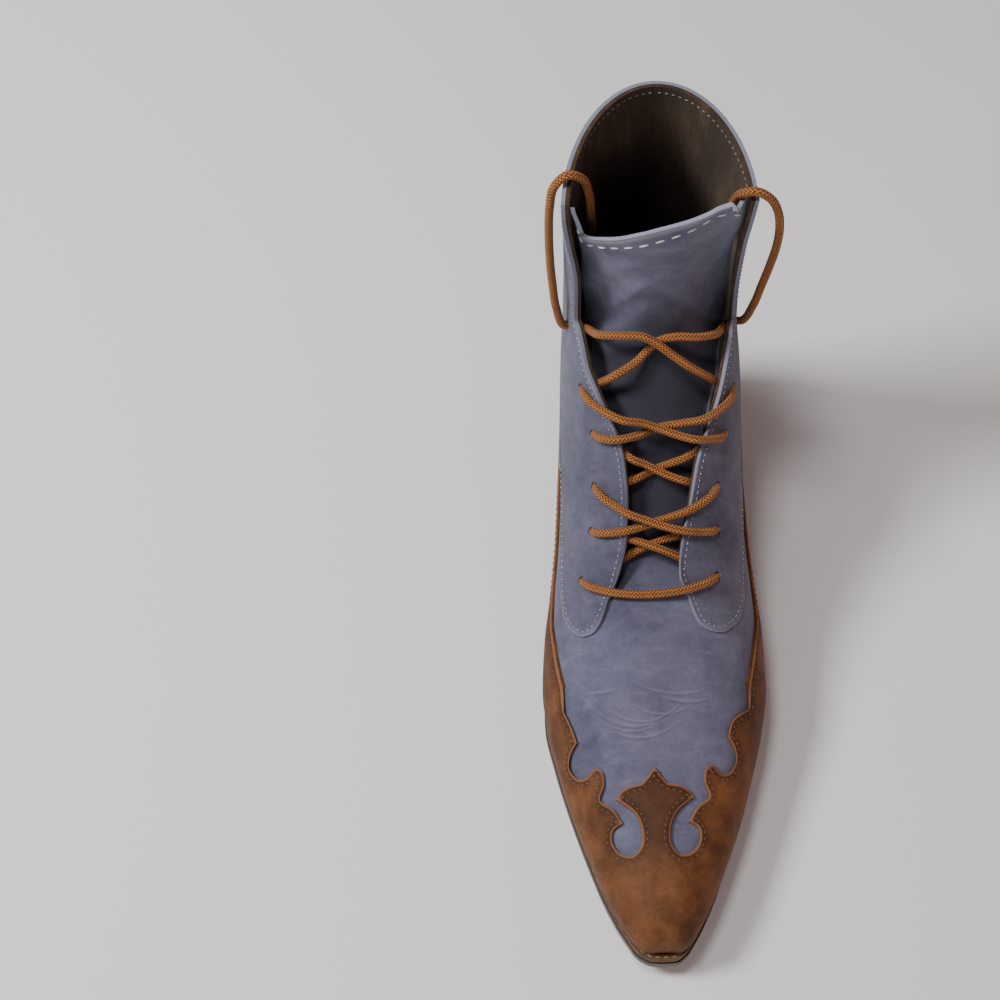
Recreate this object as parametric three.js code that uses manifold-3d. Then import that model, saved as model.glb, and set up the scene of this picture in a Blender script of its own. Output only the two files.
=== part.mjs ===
// A western ankle boot for the left foot, in millimetres, standing on its sole and heel.
// +Z is up, the toe points to -Y, +X is the outer side of the foot, and the origin is the
// middle of the heel's flat face on the floor.
//
// The upper is a fan of sections. Each section lies in a plane that holds the X direction. Its
// foot stands on the sole's outline, or behind the heel on the back seam, and its head stands on
// the ridge of the vamp, instep and shaft. skin() gives any point of it, lifted off by any amount.

import * as THREE from "three";
import { mergeVertices } from "three/addons/utils/BufferGeometryUtils.js";
import Module from "manifold-3d";

const wasm = await Module();
wasm.setup();

// Driving dimensions
const soleLength = 288;
const ballWidth = 96;
const heelHeight = 41;
const upperHeight = 159;
const outsoleThickness = 5;
const weltThickness = 3;
const weltMargin = 3.2;
const wall = 1.8;
const facingStep = 1.2;
const wingThickness = 1.4;
const insoleThickness = 5.5;
const insolePlay = 1.8;
const tongueThickness = 2;
const laceDiameter = 3.4;
const laceHole = 4.2;
const clearance = 0.3;

// Heel stack
const heelBaseLength = 56;
const heelBaseWidth = 56;
const heelTopWidth = 62;
const heelBackSlant = 9;
const heelBreastSlant = 5;
const topPieceThickness = 6;
const liftCount = 5;

// Small helpers for tables, curves and solids

function table(names, rows) {
  const columns = {};
  names.split(" ").forEach((name, column) => {
    columns[name] = rows.map((row) => row[column]);
  });
  return columns;
}

// A smooth curve through a table's column that never swings past the rows it joins
function through(stops, values, place) {
  const last = stops.length - 1;
  const at = Math.min(Math.max(place, stops[0]), stops[last]);
  let row = 0;
  while (row < last - 1 && at > stops[row + 1]) row += 1;
  const rise = (i) => (values[i + 1] - values[i]) / (stops[i + 1] - stops[i]);
  const slope = (i) => {
    if (i === 0) return rise(0);
    if (i === last) return rise(last - 1);
    const before = rise(i - 1);
    const after = rise(i);
    return before * after <= 0 ? 0 : (2 * before * after) / (before + after);
  };
  const span = stops[row + 1] - stops[row];
  const s = (at - stops[row]) / span;
  const ease = s * s * (3 - 2 * s);
  const bend = slope(row) * s * (1 - s) * (1 - s) - slope(row + 1) * s * s * (1 - s);
  return values[row] * (1 - ease) + values[row + 1] * ease + bend * span;
}

const mix = (from, to, share) => from + (to - from) * share;

function solid(geometry) {
  const bare = new THREE.BufferGeometry();
  const loose = geometry.index ? geometry.toNonIndexed() : geometry;
  bare.setAttribute("position", loose.attributes.position.clone());
  const merged = mergeVertices(bare, 1e-3);
  const corners = Array.from(merged.index.array);
  const triVerts = [];
  for (let i = 0; i < corners.length; i += 3) {
    const [a, b, c] = corners.slice(i, i + 3);
    if (a !== b && b !== c && c !== a) triVerts.push(a, b, c);
  }
  return new wasm.Manifold(new wasm.Mesh({
    numProp: 3,
    vertProperties: new Float32Array(merged.attributes.position.array),
    triVerts: new Uint32Array(triVerts),
  }));
}

function shapeOf(body) {
  const mesh = body.getMesh();
  const geometry = new THREE.BufferGeometry();
  geometry.setAttribute("position", new THREE.BufferAttribute(mesh.vertProperties, 3));
  geometry.setIndex(new THREE.BufferAttribute(mesh.triVerts, 1));
  return geometry;
}

// A closed body between two surfaces, each given point by point over rows and columns
function slab(rows, columns, outer, inner, sideIsOpen = () => true) {
  const positions = [];
  const face = (...points) => {
    for (const point of points) positions.push(point.x, point.y, point.z);
  };
  const grid = (surface) => rows.map((row) => columns.map((column) => surface(row, column)));
  const top = grid(outer);
  const low = grid(inner);
  const lastRow = rows.length - 1;
  const lastColumn = columns.length - 1;
  for (let i = 0; i < lastRow; i += 1) {
    for (let j = 0; j < lastColumn; j += 1) {
      face(top[i][j], top[i][j + 1], top[i + 1][j + 1]);
      face(top[i][j], top[i + 1][j + 1], top[i + 1][j]);
      face(low[i][j], low[i + 1][j + 1], low[i][j + 1]);
      face(low[i][j], low[i + 1][j], low[i + 1][j + 1]);
    }
    if (sideIsOpen(rows[i]) || sideIsOpen(rows[i + 1])) {
      face(top[i][0], top[i + 1][0], low[i + 1][0]);
      face(top[i][0], low[i + 1][0], low[i][0]);
      face(top[i + 1][lastColumn], top[i][lastColumn], low[i][lastColumn]);
      face(top[i + 1][lastColumn], low[i][lastColumn], low[i + 1][lastColumn]);
    }
  }
  for (let j = 0; j < lastColumn; j += 1) {
    face(top[0][j + 1], top[0][j], low[0][j]);
    face(top[0][j + 1], low[0][j], low[0][j + 1]);
    face(top[lastRow][j], top[lastRow][j + 1], low[lastRow][j + 1]);
    face(top[lastRow][j], low[lastRow][j + 1], low[lastRow][j]);
  }
  const geometry = new THREE.BufferGeometry();
  geometry.setAttribute("position", new THREE.Float32BufferAttribute(positions, 3));
  return solid(geometry);
}

const spread = (from, to, count) => Array.from({ length: count + 1 }, (_, i) => mix(from, to, i / count));

// Sole: its outline by stations from the toe round to the heel, and the profile of its bottom.
// along is a share of the sole's length, inner and outer are shares of the ball width.
const outline = table("along inner outer", [
  [0, 0, 0],
  [0.001, 0.05, 0.05],
  [0.01, 0.103, 0.093],
  [0.035, 0.156, 0.146],
  [0.083, 0.229, 0.221],
  [0.146, 0.3, 0.296],
  [0.215, 0.369, 0.369],
  [0.292, 0.435, 0.44],
  [0.368, 0.481, 0.492],
  [0.444, 0.485, 0.51],
  [0.521, 0.438, 0.474],
  [0.597, 0.356, 0.396],
  [0.681, 0.312, 0.339],
  [0.771, 0.323, 0.339],
  [0.854, 0.339, 0.344],
  [0.924, 0.308, 0.312],
  [0.972, 0.214, 0.216],
  [0.996, 0.099, 0.099],
  [1, 0, 0],
]);
const stations = outline.along.map((_, station) => station);
const heelStation = stations.length - 1;

// rise is a share of the heel height: toe spring, flat tread under the ball, arch and heel seat
const bottomProfile = table("along rise", [
  [0, 0.22],
  [0.069, 0.122],
  [0.156, 0.039],
  [0.25, 0],
  [0.375, 0],
  [0.444, 0.029],
  [0.514, 0.159],
  [0.597, 0.451],
  [0.681, 0.707],
  [0.757, 0.866],
  [0.851, 0.939],
  [1, 1],
]);

const heelCentre = soleLength - heelBackSlant - 2 - heelBaseLength / 2;
const place = (x, along, z) => new THREE.Vector3(x, along - heelCentre, z);
const bottomAt = (along) => heelHeight * through(bottomProfile.along, bottomProfile.rise, along / soleLength);
const seatAt = (along) => bottomAt(along) + outsoleThickness + weltThickness + clearance;

// The outline drawn in by a margin, which shrinks where the sole is narrow
const tipEase = 8;
function outlineAt(station, margin) {
  const along = soleLength * through(stations, outline.along, station);
  const drawnIn = (width) => width * (1 - margin / (width + tipEase));
  return {
    along: margin + (along * (soleLength - 2 * margin)) / soleLength,
    inner: drawnIn(ballWidth * through(stations, outline.inner, station)),
    outer: drawnIn(ballWidth * through(stations, outline.outer, station)),
  };
}

// A plate with the sole's outline that follows the sole's bottom between two heights
function plate(margin, low, high) {
  const rows = spread(0, heelStation, 2 * heelStation);
  const edge = (height) => (station, side) => {
    const at = outlineAt(station, margin);
    return place(side < 0 ? side * at.inner : side * at.outer, at.along, bottomAt(at.along) + height);
  };
  return slab(rows, [-1, 1], edge(high), edge(low));
}

// Upper: one row for each section. seat is the station of its foot, along and rise give its head
// as shares of the sole's length and the upper's height over the sole, inner and outer its half
// widths, level the height of its widest point, fullness its squareness, ridge the side shift of
// its head, back and lean the height and slant of its foot up the back seam.
const sections = table("seat along rise inner outer level fullness ridge back lean", [
  [1, 0.014, 0.007, 0.043, 0.043, 0.35, 2.3, 0, 0, 0],
  [1.5, 0.016, 0.048, 0.077, 0.077, 0.35, 2.4, 0, 0, 0],
  [2.1, 0.028, 0.09, 0.109, 0.106, 0.36, 2.4, 0, 0, 0],
  [2.8, 0.05, 0.121, 0.142, 0.137, 0.36, 2.35, 0, 0, 0],
  [3.7, 0.085, 0.147, 0.2, 0.196, 0.36, 2.3, 0, 0, 0],
  [4.7, 0.135, 0.176, 0.269, 0.269, 0.36, 2.25, -0.003, 0, 0],
  [5.7, 0.198, 0.208, 0.343, 0.345, 0.34, 2.2, -0.008, 0, 0],
  [6.6, 0.26, 0.241, 0.399, 0.404, 0.32, 2.15, -0.015, 0, 0],
  [7.5, 0.323, 0.281, 0.445, 0.456, 0.3, 2.1, -0.021, 0, 0],
  [8.35, 0.389, 0.334, 0.471, 0.485, 0.29, 2, -0.025, 0, 0],
  [9.3, 0.451, 0.382, 0.46, 0.481, 0.28, 1.95, -0.025, 0, 0],
  [10.3, 0.51, 0.412, 0.429, 0.452, 0.28, 1.9, -0.021, 0, 0],
  [11.25, 0.566, 0.433, 0.403, 0.425, 0.29, 1.9, -0.015, 0, 0],
  [12.2, 0.618, 0.465, 0.389, 0.41, 0.31, 1.9, -0.008, 0, 0],
  [13.15, 0.663, 0.514, 0.379, 0.404, 0.34, 1.95, 0, 0, 0],
  [14.2, 0.698, 0.581, 0.373, 0.4, 0.38, 2, 0, 0, 0],
  [15.2, 0.719, 0.641, 0.367, 0.392, 0.42, 2.05, 0, 0, 0],
  [16.3, 0.729, 0.686, 0.361, 0.381, 0.45, 2.1, 0, 0, 0],
  [18, 0.735, 0.727, 0.357, 0.373, 0.47, 2.1, 0, 0.013, 0],
  [18, 0.74, 0.769, 0.353, 0.365, 0.48, 2.1, 0, 0.151, 0.006],
  [18, 0.742, 0.812, 0.351, 0.358, 0.51, 2.1, 0, 0.346, -0.005],
  [18, 0.744, 0.855, 0.352, 0.356, 0.57, 2, 0, 0.566, -0.015],
  [18, 0.747, 0.898, 0.356, 0.361, 0.67, 1.95, 0, 0.786, -0.018],
  [18, 0.748, 0.942, 0.363, 0.37, 0.8, 1.9, 0, 1, -0.013],
]);
const sectionNumbers = sections.seat.map((_, number) => number);
const collar = sectionNumbers.length - 1;
const heelSection = sections.seat.indexOf(heelStation);

// Half a section from its head to its foot, as points with their distance from the head
const archSteps = 20;
const footSteps = 10;
const sectionStore = new Map();
function halfSection(number, side) {
  const key = `${number.toFixed(5)} ${side}`;
  if (sectionStore.has(key)) return sectionStore.get(key);
  const value = (name) => through(sectionNumbers, sections[name], number);
  const foot = outlineAt(value("seat"), weltMargin);
  const footWidth = side < 0 ? foot.inner : foot.outer;
  const width = ballWidth * value(side < 0 ? "inner" : "outer");
  const ridge = ballWidth * value("ridge");
  const level = value("level");
  const power = 2 / value("fullness");
  const footAlong = foot.along + soleLength * value("lean");
  const footHeight = seatAt(foot.along) + upperHeight * value("back");
  const headAlong = soleLength * value("along");
  const headHeight = seatAt(headAlong) + upperHeight * value("rise");
  const tuck = Math.acos(Math.min(footWidth / width, 0.985));
  const points = [];
  const add = (x, share) => {
    points.push(place(x, mix(footAlong, headAlong, share), mix(footHeight, headHeight, share)));
  };
  for (let i = 0; i <= archSteps; i += 1) {
    const angle = (i / archSteps) * (Math.PI / 2);
    const reach = Math.sin(angle) ** power;
    add(ridge + (side * width - ridge) * reach, mix(level, 1, Math.abs(Math.cos(angle)) ** power));
  }
  for (let i = 1; i <= footSteps; i += 1) {
    const angle = (i / footSteps) * tuck;
    add(side * width * Math.cos(angle), level * (1 - Math.sin(angle) / Math.sin(tuck)));
  }
  const girth = [0];
  for (let i = 1; i < points.length; i += 1) {
    girth.push(girth[i - 1] + points[i].distanceTo(points[i - 1]));
  }
  const half = { points, girth, length: girth[points.length - 1] };
  sectionStore.set(key, half);
  return half;
}

// A point of the surface: section number, and share of the half girth, below 0 on the inner side
const aboveCollar = 12;
function surface(number, share) {
  const onInnerSide = share < 0 && !(ringIsClosed(number) && share <= -1);
  const half = halfSection(Math.min(number, collar), onInnerSide ? -1 : 1);
  const distance = Math.min(Math.abs(share), 1) * half.length;
  let i = 1;
  while (i < half.girth.length - 1 && half.girth[i] < distance) i += 1;
  const part = (distance - half.girth[i - 1]) / (half.girth[i] - half.girth[i - 1]);
  const point = half.points[i - 1].clone().lerp(half.points[i], part);
  point.z += aboveCollar * Math.max(number - collar, 0);
  return point;
}

const ringIsClosed = (number) => number >= heelSection;

// The way out of the surface, which on the back seam is the same from either side
function outward(number, share) {
  if (ringIsClosed(number) && Math.abs(share) >= 1) {
    return slope(number, 1).add(slope(number, -1)).normalize();
  }
  return slope(number, share);
}

function slope(number, share) {
  const alongStep = 0.1;
  const aroundStep = 0.02;
  const at = Math.min(number, collar);
  const wrap = (value) => {
    if (Math.abs(value) <= 1) return value;
    return ringIsClosed(at) ? value - 2 * Math.sign(value) : Math.sign(value);
  };
  const around = surface(at, wrap(share + aroundStep)).sub(surface(at, wrap(share - aroundStep)));
  const along = surface(Math.min(at + alongStep, collar), share);
  along.sub(surface(Math.max(at - alongStep, 0), share));
  return around.cross(along).normalize();
}

const skin = (number, share, lift) => surface(number, share).addScaledVector(outward(number, share), lift);

// Sections closer together where the toe, the arch and the heel turn
const upperRows = [];
for (let number = 0; number <= collar; number += 1) {
  upperRows.push(number);
  const turns = number < 3 || (number >= 10 && number < heelSection);
  if (turns) upperRows.push(number + 0.5);
}
const upperColumns = spread(-1, 1, 20);

function shell(rows, lowLift, highLift) {
  return slab(
    rows,
    upperColumns,
    (number, share) => skin(number, share, highLift),
    (number, share) => skin(number, share, lowLift),
    (number) => !ringIsClosed(number),
  );
}

// Throat: how far its edge lies from the ridge, as a share of the half girth, on either side
const throat = table("section inner outer", [
  [10.3, 0.19, 0.15],
  [10.8, 0.15, 0.133],
  [11.5, 0.117, 0.15],
  [12.2, 0.11, 0.18],
  [13.1, 0.127, 0.207],
  [13.8, 0.165, 0.24],
  [14.7, 0.235, 0.29],
  [15.6, 0.28, 0.31],
  [17.5, 0.295, 0.335],
  [20, 0.315, 0.395],
  [21.4, 0.375, 0.417],
  [23, 0.41, 0.415],
]);
const throatStart = throat.section[0];
const throatEdge = (number, side) => side * through(
  throat.section,
  side < 0 ? throat.inner : throat.outer,
  number,
);

const cutReach = 4;
function throatCutter() {
  const rows = [...spread(throatStart, collar, 18), collar + 1];
  const point = (lift) => (number, across) => skin(number, Math.abs(across) * throatEdge(number, across), lift);
  return slab(rows, spread(-1, 1, 10), point(cutReach), point(-cutReach));
}

// Front edge of the facings: the section where they begin, by share of the half girth
const tab = table("share section", [
  [0, 10.8],
  [0.12, 10.45],
  [0.18, 10.05],
  [0.25, 9.82],
  [0.35, 9.75],
  [0.42, 9.85],
  [0.47, 10.07],
  [0.51, 10.4],
  [0.56, 10.9],
  [0.6, 12],
  [0.63, 13.3],
  [1, 13.4],
]);
const facingRowsFrom = 9;

function vampCutter() {
  const front = facingRowsFrom - 1;
  const point = (lift) => (share, side) => {
    const edge = through(tab.share, tab.section, Math.abs(side));
    return skin(mix(front, edge, share), side, lift);
  };
  return slab(spread(0, 1, 2), spread(-0.98, 0.98, 40), point(cutReach), point(-cutReach / 4));
}

// A prism across the whole boot over a region seen from the side, in along and height
const farSide = 90;
function sidePrism(points) {
  const region = new THREE.Shape(points.map(([along, height]) => new THREE.Vector2(along, height)));
  const geometry = new THREE.ExtrudeGeometry(region, { depth: 2 * farSide, bevelEnabled: false });
  const axes = new THREE.Matrix4().makeBasis(
    new THREE.Vector3(0, 1, 0),
    new THREE.Vector3(0, 0, 1),
    new THREE.Vector3(1, 0, 0),
  );
  geometry.applyMatrix4(axes);
  geometry.translate(-farSide, -heelCentre, 0);
  return solid(geometry);
}

// Top edge of the low band of the wing overlay, and the quarters' lower edge above it.
// height is measured over the sole, as a share of the upper's height.
const band = table("along height", [
  [0.3, 0.2],
  [0.34, 0.209],
  [0.38, 0.228],
  [0.434, 0.22],
  [0.486, 0.19],
  [0.556, 0.15],
  [0.642, 0.14],
  [0.73, 0.132],
  [0.816, 0.14],
  [0.903, 0.155],
  [1.02, 0.17],
]);
const quarterAboveBand = 1.5;
const bandSteps = 16;
const bandStop = band.along[band.along.length - 1];
const bandHeight = (share) => {
  const along = share * soleLength;
  return seatAt(along) + upperHeight * through(band.along, band.height, share);
};

function belowBand(from, raise) {
  const edge = spread(from, bandStop, bandSteps).map((share) => [share * soleLength, bandHeight(share) + raise]);
  const floor = -heelHeight;
  return [[bandStop * soleLength, floor], [from * soleLength, floor], ...edge];
}

// Lace holes: section and share of the half girth on either side, from the lowest pair up
const holes = table("section inner outer", [
  [10.83, 0.367, 0.335],
  [11.8, 0.308, 0.342],
  [12.7, 0.285, 0.335],
  [13.8, 0.285, 0.367],
  [14.9, 0.33, 0.405],
  [17.6, 0.375, 0.425],
]);
const holeShare = (pair, side) => side * (side < 0 ? holes.inner : holes.outer)[pair];

function holeCutter(pair, side) {
  const number = holes.section[pair];
  const share = holeShare(pair, side);
  const geometry = new THREE.CylinderGeometry(laceHole / 2, laceHole / 2, 3 * cutReach, 8);
  const turn = new THREE.Quaternion().setFromUnitVectors(new THREE.Vector3(0, 1, 0), outward(number, share));
  geometry.applyQuaternion(turn);
  const centre = skin(number, share, 0);
  geometry.translate(centre.x, centre.y, centre.z);
  return solid(geometry);
}

function upperSolid() {
  const facingRows = upperRows.filter((number) => number >= facingRowsFrom);
  const lap = 0.5;
  let facings = shell(facingRows, -lap, facingStep);
  facings = facings.subtract(vampCutter());
  facings = facings.subtract(sidePrism(belowBand(band.along[0], quarterAboveBand)));
  let body = shell(upperRows, -wall, 0).add(facings);
  body = body.subtract(throatCutter());
  for (let pair = 0; pair < holes.section.length; pair += 1) {
    for (const side of [-1, 1]) body = body.subtract(holeCutter(pair, side));
  }
  return body;
}

// Wing overlay: a scalloped toe piece with a heart between two drops, which runs back along
// both sides as a low band and meets behind the heel. Strokes of the scallop's half outline from
// the band to the heart's point: half is a share of the ball width from the pattern's middle.
const scallop = [
  table("half along", [[0.381, 0.3385], [0.343, 0.316], [0.32, 0.293]]),
  table("half along", [[0.32, 0.293], [0.347, 0.281], [0.354, 0.264], [0.318, 0.245], [0.285, 0.243], [0.244, 0.254]]),
  table("half along", [[0.244, 0.254], [0.218, 0.247], [0.21, 0.23], [0.228, 0.21], [0.177, 0.195], [0.1375, 0.175]]),
  table("half along", [
    [0.1375, 0.175],
    [0.177, 0.167],
    [0.182, 0.152],
    [0.151, 0.135],
    [0.101, 0.13],
    [0.0625, 0.143],
    [0.061, 0.167],
    [0.0865, 0.187],
    [0.161, 0.208],
  ]),
  table("half along", [[0.161, 0.208], [0.115, 0.219], [0.075, 0.224], [0.036, 0.235], [0, 0.2465]]),
];
const scallopMiddle = -0.024;
const strokeSteps = 1;

function scallopOutline() {
  const half = [];
  for (const stroke of scallop) {
    const points = stroke.half.map((x, i) => new THREE.Vector2(x * ballWidth, stroke.along[i] * soleLength));
    const drawn = new THREE.SplineCurve(points).getPoints(strokeSteps * (points.length - 1));
    half.push(...drawn.slice(0, -1));
  }
  const mirrored = half.map((point) => new THREE.Vector2(-point.x, point.y));
  const heartPoint = new THREE.Vector2(0, scallop[scallop.length - 1].along[4] * soleLength);
  return [...mirrored, heartPoint, ...half.reverse()];
}

function vampWindow() {
  const overlap = 10;
  const points = scallopOutline();
  const first = points[0];
  const last = points[points.length - 1];
  const inset = 0.8;
  const closing = [
    new THREE.Vector2(last.x * inset, last.y + overlap),
    new THREE.Vector2(first.x * inset, first.y + overlap),
  ];
  const region = new THREE.Shape([...points, ...closing]);
  const geometry = new THREE.ExtrudeGeometry(region, { depth: 2 * upperHeight, bevelEnabled: false });
  geometry.translate(scallopMiddle * ballWidth, -heelCentre, -upperHeight / 2);
  return solid(geometry);
}

const wingRows = upperRows.filter((number) => number <= heelSection + 2);
const wingFootGap = 1.4;
function wingSolid() {
  const point = (lift) => (number, share) => {
    const atFoot = Math.abs(share) === 1 && !ringIsClosed(number);
    const gap = atFoot ? wingFootGap / halfSection(number, share).length : 0;
    return skin(number, share * (1 - gap), lift);
  };
  const open = (number) => !ringIsClosed(number);
  const ring = slab(wingRows, upperColumns, point(clearance + wingThickness), point(clearance), open);
  const from = scallop[0].along[0];
  const ceiling = 2 * upperHeight;
  const edge = spread(from, bandStop, bandSteps).map((share) => [share * soleLength, bandHeight(share)]);
  const above = sidePrism([...edge.reverse(), [from * soleLength, ceiling], [bandStop * soleLength, ceiling]].reverse());
  return ring.subtract(vampWindow()).subtract(above);
}

// Tongue: inside the facings, with room for the lace between, wide at its top. Its depth under
// the upper's surface, in its middle and at its sides, is a share of its deepest drop.
const tongueFrom = 9.8;
const tongueTo = 22.6;
const tongueEdge = table("section inner outer", [
  [9.8, 0.36, 0.32],
  [13, 0.3, 0.34],
  [15, 0.36, 0.38],
  [18, 0.42, 0.44],
  [20, 0.44, 0.45],
  [22.6, 0.41, 0.43],
]);
const tongueDrop = 15.4;
const tongueDepth = table("section middle side", [
  [9.8, 0.03, 0.03],
  [10.4, 0.16, 0.3],
  [10.8, 0.33, 0.32],
  [12, 0.42, 0.3],
  [13, 0.56, 0.3],
  [14, 0.75, 0.3],
  [15, 0.92, 0.3],
  [16, 1, 0.3],
  [18.5, 0.84, 0.3],
  [21, 0.58, 0.16],
  [22.6, 0.48, 0.04],
]);
function tongueSolid() {
  const point = (under) => (number, across) => {
    const widths = across < 0 ? tongueEdge.inner : tongueEdge.outer;
    const share = across * through(tongueEdge.section, widths, number);
    const middle = through(tongueDepth.section, tongueDepth.middle, number);
    const side = through(tongueDepth.section, tongueDepth.side, number);
    const depth = tongueDrop * mix(middle, side, across * across);
    return skin(number, share, -wall - depth - under);
  };
  return slab(spread(tongueFrom, tongueTo, 14), spread(-1, 1, 8), point(0), point(tongueThickness));
}

// Lace: a round cord. Each run goes from a hole on the inner side to one on the outer side, over
// the facings or under them, and sags a little across the throat.
const laceSides = 8;
function laceTube(points, steps) {
  const section = new THREE.Shape(spread(0, laceSides - 1, laceSides - 1).map((corner) => {
    const angle = (corner / laceSides) * 2 * Math.PI;
    return new THREE.Vector2(Math.cos(angle), Math.sin(angle)).multiplyScalar(laceDiameter / 2);
  }));
  const path = new THREE.CatmullRomCurve3(points, false, "centripetal");
  return solid(new THREE.ExtrudeGeometry(section, { steps, bevelEnabled: false, extrudePath: path }));
}

const laceOver = facingStep + clearance + laceDiameter / 2;
const laceUnder = -wall - clearance - laceDiameter / 2;
const runSteps = 9;
const edgeMargin = 1.35;

// How slack each run is, from the bar up: its sag in the throat, and its bow towards the toe in
// sections
const slack = table("sag bow", [
  [1, 0.5],
  [0, 0],
  [3, 0.45],
  [4, 0.4],
  [9, 0.6],
  [9.5, 0.6],
]);

function laceRun(innerPair, outerPair, over) {
  const run = innerPair === outerPair ? 0 : Math.max(innerPair, outerPair);
  const points = spread(0, 1, runSteps).map((part) => {
    const middle = 1 - (2 * part - 1) ** 2;
    const level = mix(holes.section[innerPair], holes.section[outerPair], part);
    const number = level - slack.bow[run] * middle;
    const share = mix(holeShare(innerPair, -1), holeShare(outerPair, 1), part);
    const edge = throatEdge(number, Math.sign(share) || 1);
    const toEdge = Math.min(Math.abs(share / edge) * edgeMargin, 1);
    const sag = slack.sag[run] * (1 - toEdge * toEdge);
    return skin(number, share, (over ? laceOver : laceUnder) - sag);
  });
  return laceTube(points, runSteps);
}

// The free loops, from the top holes up outside the facings, over the collar and into the shaft
const innerLoop = [
  [-35.2, 235.2, 119.8],
  [-38, 236.4, 130],
  [-39.4, 237.6, 145],
  [-40.2, 238.5, 160],
  [-40.4, 239.5, 175],
  [-39.9, 240.5, 188],
  [-38.2, 241.6, 198],
  [-33.2, 242.6, 203.3],
  [-27.8, 243.8, 199.6],
  [-25.3, 245, 190],
  [-24.4, 246, 178.5],
  [-23.8, 247, 166],
];
const outerLoop = [
  [38.2, 240.1, 113.8],
  [41.2, 237.4, 128],
  [42.9, 236, 143],
  [44.7, 235.6, 157],
  [45.8, 235.2, 169],
  [45.7, 234.8, 180],
  [44, 234.4, 190.4],
  [40.4, 234.2, 198.4],
  [35.2, 234.6, 202],
  [30.5, 236.2, 199.6],
  [28.4, 240, 191.5],
  [27.2, 243, 180],
  [26.4, 245.5, 168],
];
const loopSteps = 16;
const loopSolid = (route) => laceTube(route.map((point) => place(...point)), loopSteps);

// Heel: lifts between the floor and the outsole, narrower towards the floor
const heelTurn = spread(0, 1, 9);
function heelPoint(turn, side, share) {
  const angle = turn * (Math.PI / 2);
  const halfWidth = mix(heelBaseWidth, heelTopWidth, share) / 2;
  const breast = heelCentre - heelBaseLength / 2 - heelBreastSlant * share;
  const back = heelCentre + heelBaseLength / 2 + heelBackSlant * share;
  const along = mix(breast, back, Math.sin(angle));
  const x = side * halfWidth * Math.cos(angle) ** 0.6;
  return place(x, along, share * (bottomAt(along) - clearance));
}

function heelLayer(from, to) {
  return slab(
    heelTurn,
    [-1, 1],
    (turn, side) => heelPoint(turn, side, to),
    (turn, side) => heelPoint(turn, side, from),
  );
}

// Materials
const finish = (color, roughness) => new THREE.MeshStandardMaterial({ color, roughness, metalness: 0 });
const nubuck = finish(0x5f5d70, 0.95);
const wingLeather = finish(0x7e5134, 0.6);
const soleLeather = finish(0x4a2f1f, 0.6);
const weltLeather = finish(0x8a6038, 0.7);
const rubber = finish(0x1c1a1a, 0.8);
const insoleLeather = finish(0x8b8a90, 0.8);
const laceCord = finish(0xa8662f, 0.8);

const boot = new THREE.Group();
function addPiece(name, body, material) {
  const mesh = new THREE.Mesh(shapeOf(body), material);
  mesh.name = name;
  boot.add(mesh);
}

addPiece("outsole", plate(0, 0, outsoleThickness), soleLeather);
const weltLow = outsoleThickness + clearance;
const weltHigh = outsoleThickness + weltThickness;
const insoleMargin = weltMargin + wall + insolePlay;
const weltHole = plate(insoleMargin - clearance, 0, 2 * weltHigh);
addPiece("welt", plate(0.6, weltLow, weltHigh).subtract(weltHole), weltLeather);
addPiece("insole", plate(insoleMargin, weltLow, weltLow + insoleThickness), insoleLeather);
addPiece("upper", upperSolid(), nubuck);
addPiece("tongue", tongueSolid(), nubuck);
addPiece("wing_overlay", wingSolid(), wingLeather);

addPiece("lace_bar", laceRun(0, 0, true), laceCord);
for (let pair = 0; pair < holes.section.length - 1; pair += 1) {
  const over = pair % 2 === 1;
  const crossing = laceRun(pair, pair + 1, over).add(laceRun(pair + 1, pair, over));
  addPiece(`lace_crossing_${pair + 1}`, crossing, laceCord);
}
addPiece("lace_loop_inner", loopSolid(innerLoop), laceCord);
addPiece("lace_loop_outer", loopSolid(outerLoop), laceCord);

const topPieceShare = topPieceThickness / heelHeight;
addPiece("heel_top_piece", heelLayer(0, topPieceShare), rubber);
for (let lift = 0; lift < liftCount; lift += 1) {
  const layer = (1 - topPieceShare) / liftCount;
  const from = topPieceShare + lift * layer + clearance / heelHeight;
  addPiece(`heel_lift_${lift + 1}`, heelLayer(from, topPieceShare + (lift + 1) * layer), soleLeather);
}

export default boot;
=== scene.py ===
# A western ankle boot for the left foot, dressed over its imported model.
# Lengths are in millimetres, along is measured from the toe's tip, and points become metres
# where they go into a mesh.
import math

import bmesh
import bpy
import numpy as np
from mathutils import Matrix, Vector
from mathutils.bvhtree import BVHTree
from mathutils.kdtree import KDTree


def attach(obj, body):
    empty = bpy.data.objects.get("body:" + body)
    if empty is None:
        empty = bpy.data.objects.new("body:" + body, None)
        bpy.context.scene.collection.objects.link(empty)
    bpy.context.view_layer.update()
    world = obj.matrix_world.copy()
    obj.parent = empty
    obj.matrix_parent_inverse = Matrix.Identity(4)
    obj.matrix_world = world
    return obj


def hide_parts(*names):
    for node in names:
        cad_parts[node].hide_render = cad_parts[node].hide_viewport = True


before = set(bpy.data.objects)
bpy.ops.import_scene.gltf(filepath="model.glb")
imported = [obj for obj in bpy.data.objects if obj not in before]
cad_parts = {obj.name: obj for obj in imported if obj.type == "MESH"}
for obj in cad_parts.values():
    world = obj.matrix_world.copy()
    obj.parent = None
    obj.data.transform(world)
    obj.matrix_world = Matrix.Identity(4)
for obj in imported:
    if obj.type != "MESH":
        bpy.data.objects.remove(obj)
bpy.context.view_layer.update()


# Camera: it looks steeply down on the boot from in front of the toe, a little to the inner side,
# as the photographer did. The picture is taken as 1000 pixels square.
picture_size = 1000
focal_length_px = 1623.45
picture_centre_px = (570.6, 557.05)
look_down = math.radians(63.46)
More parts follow.
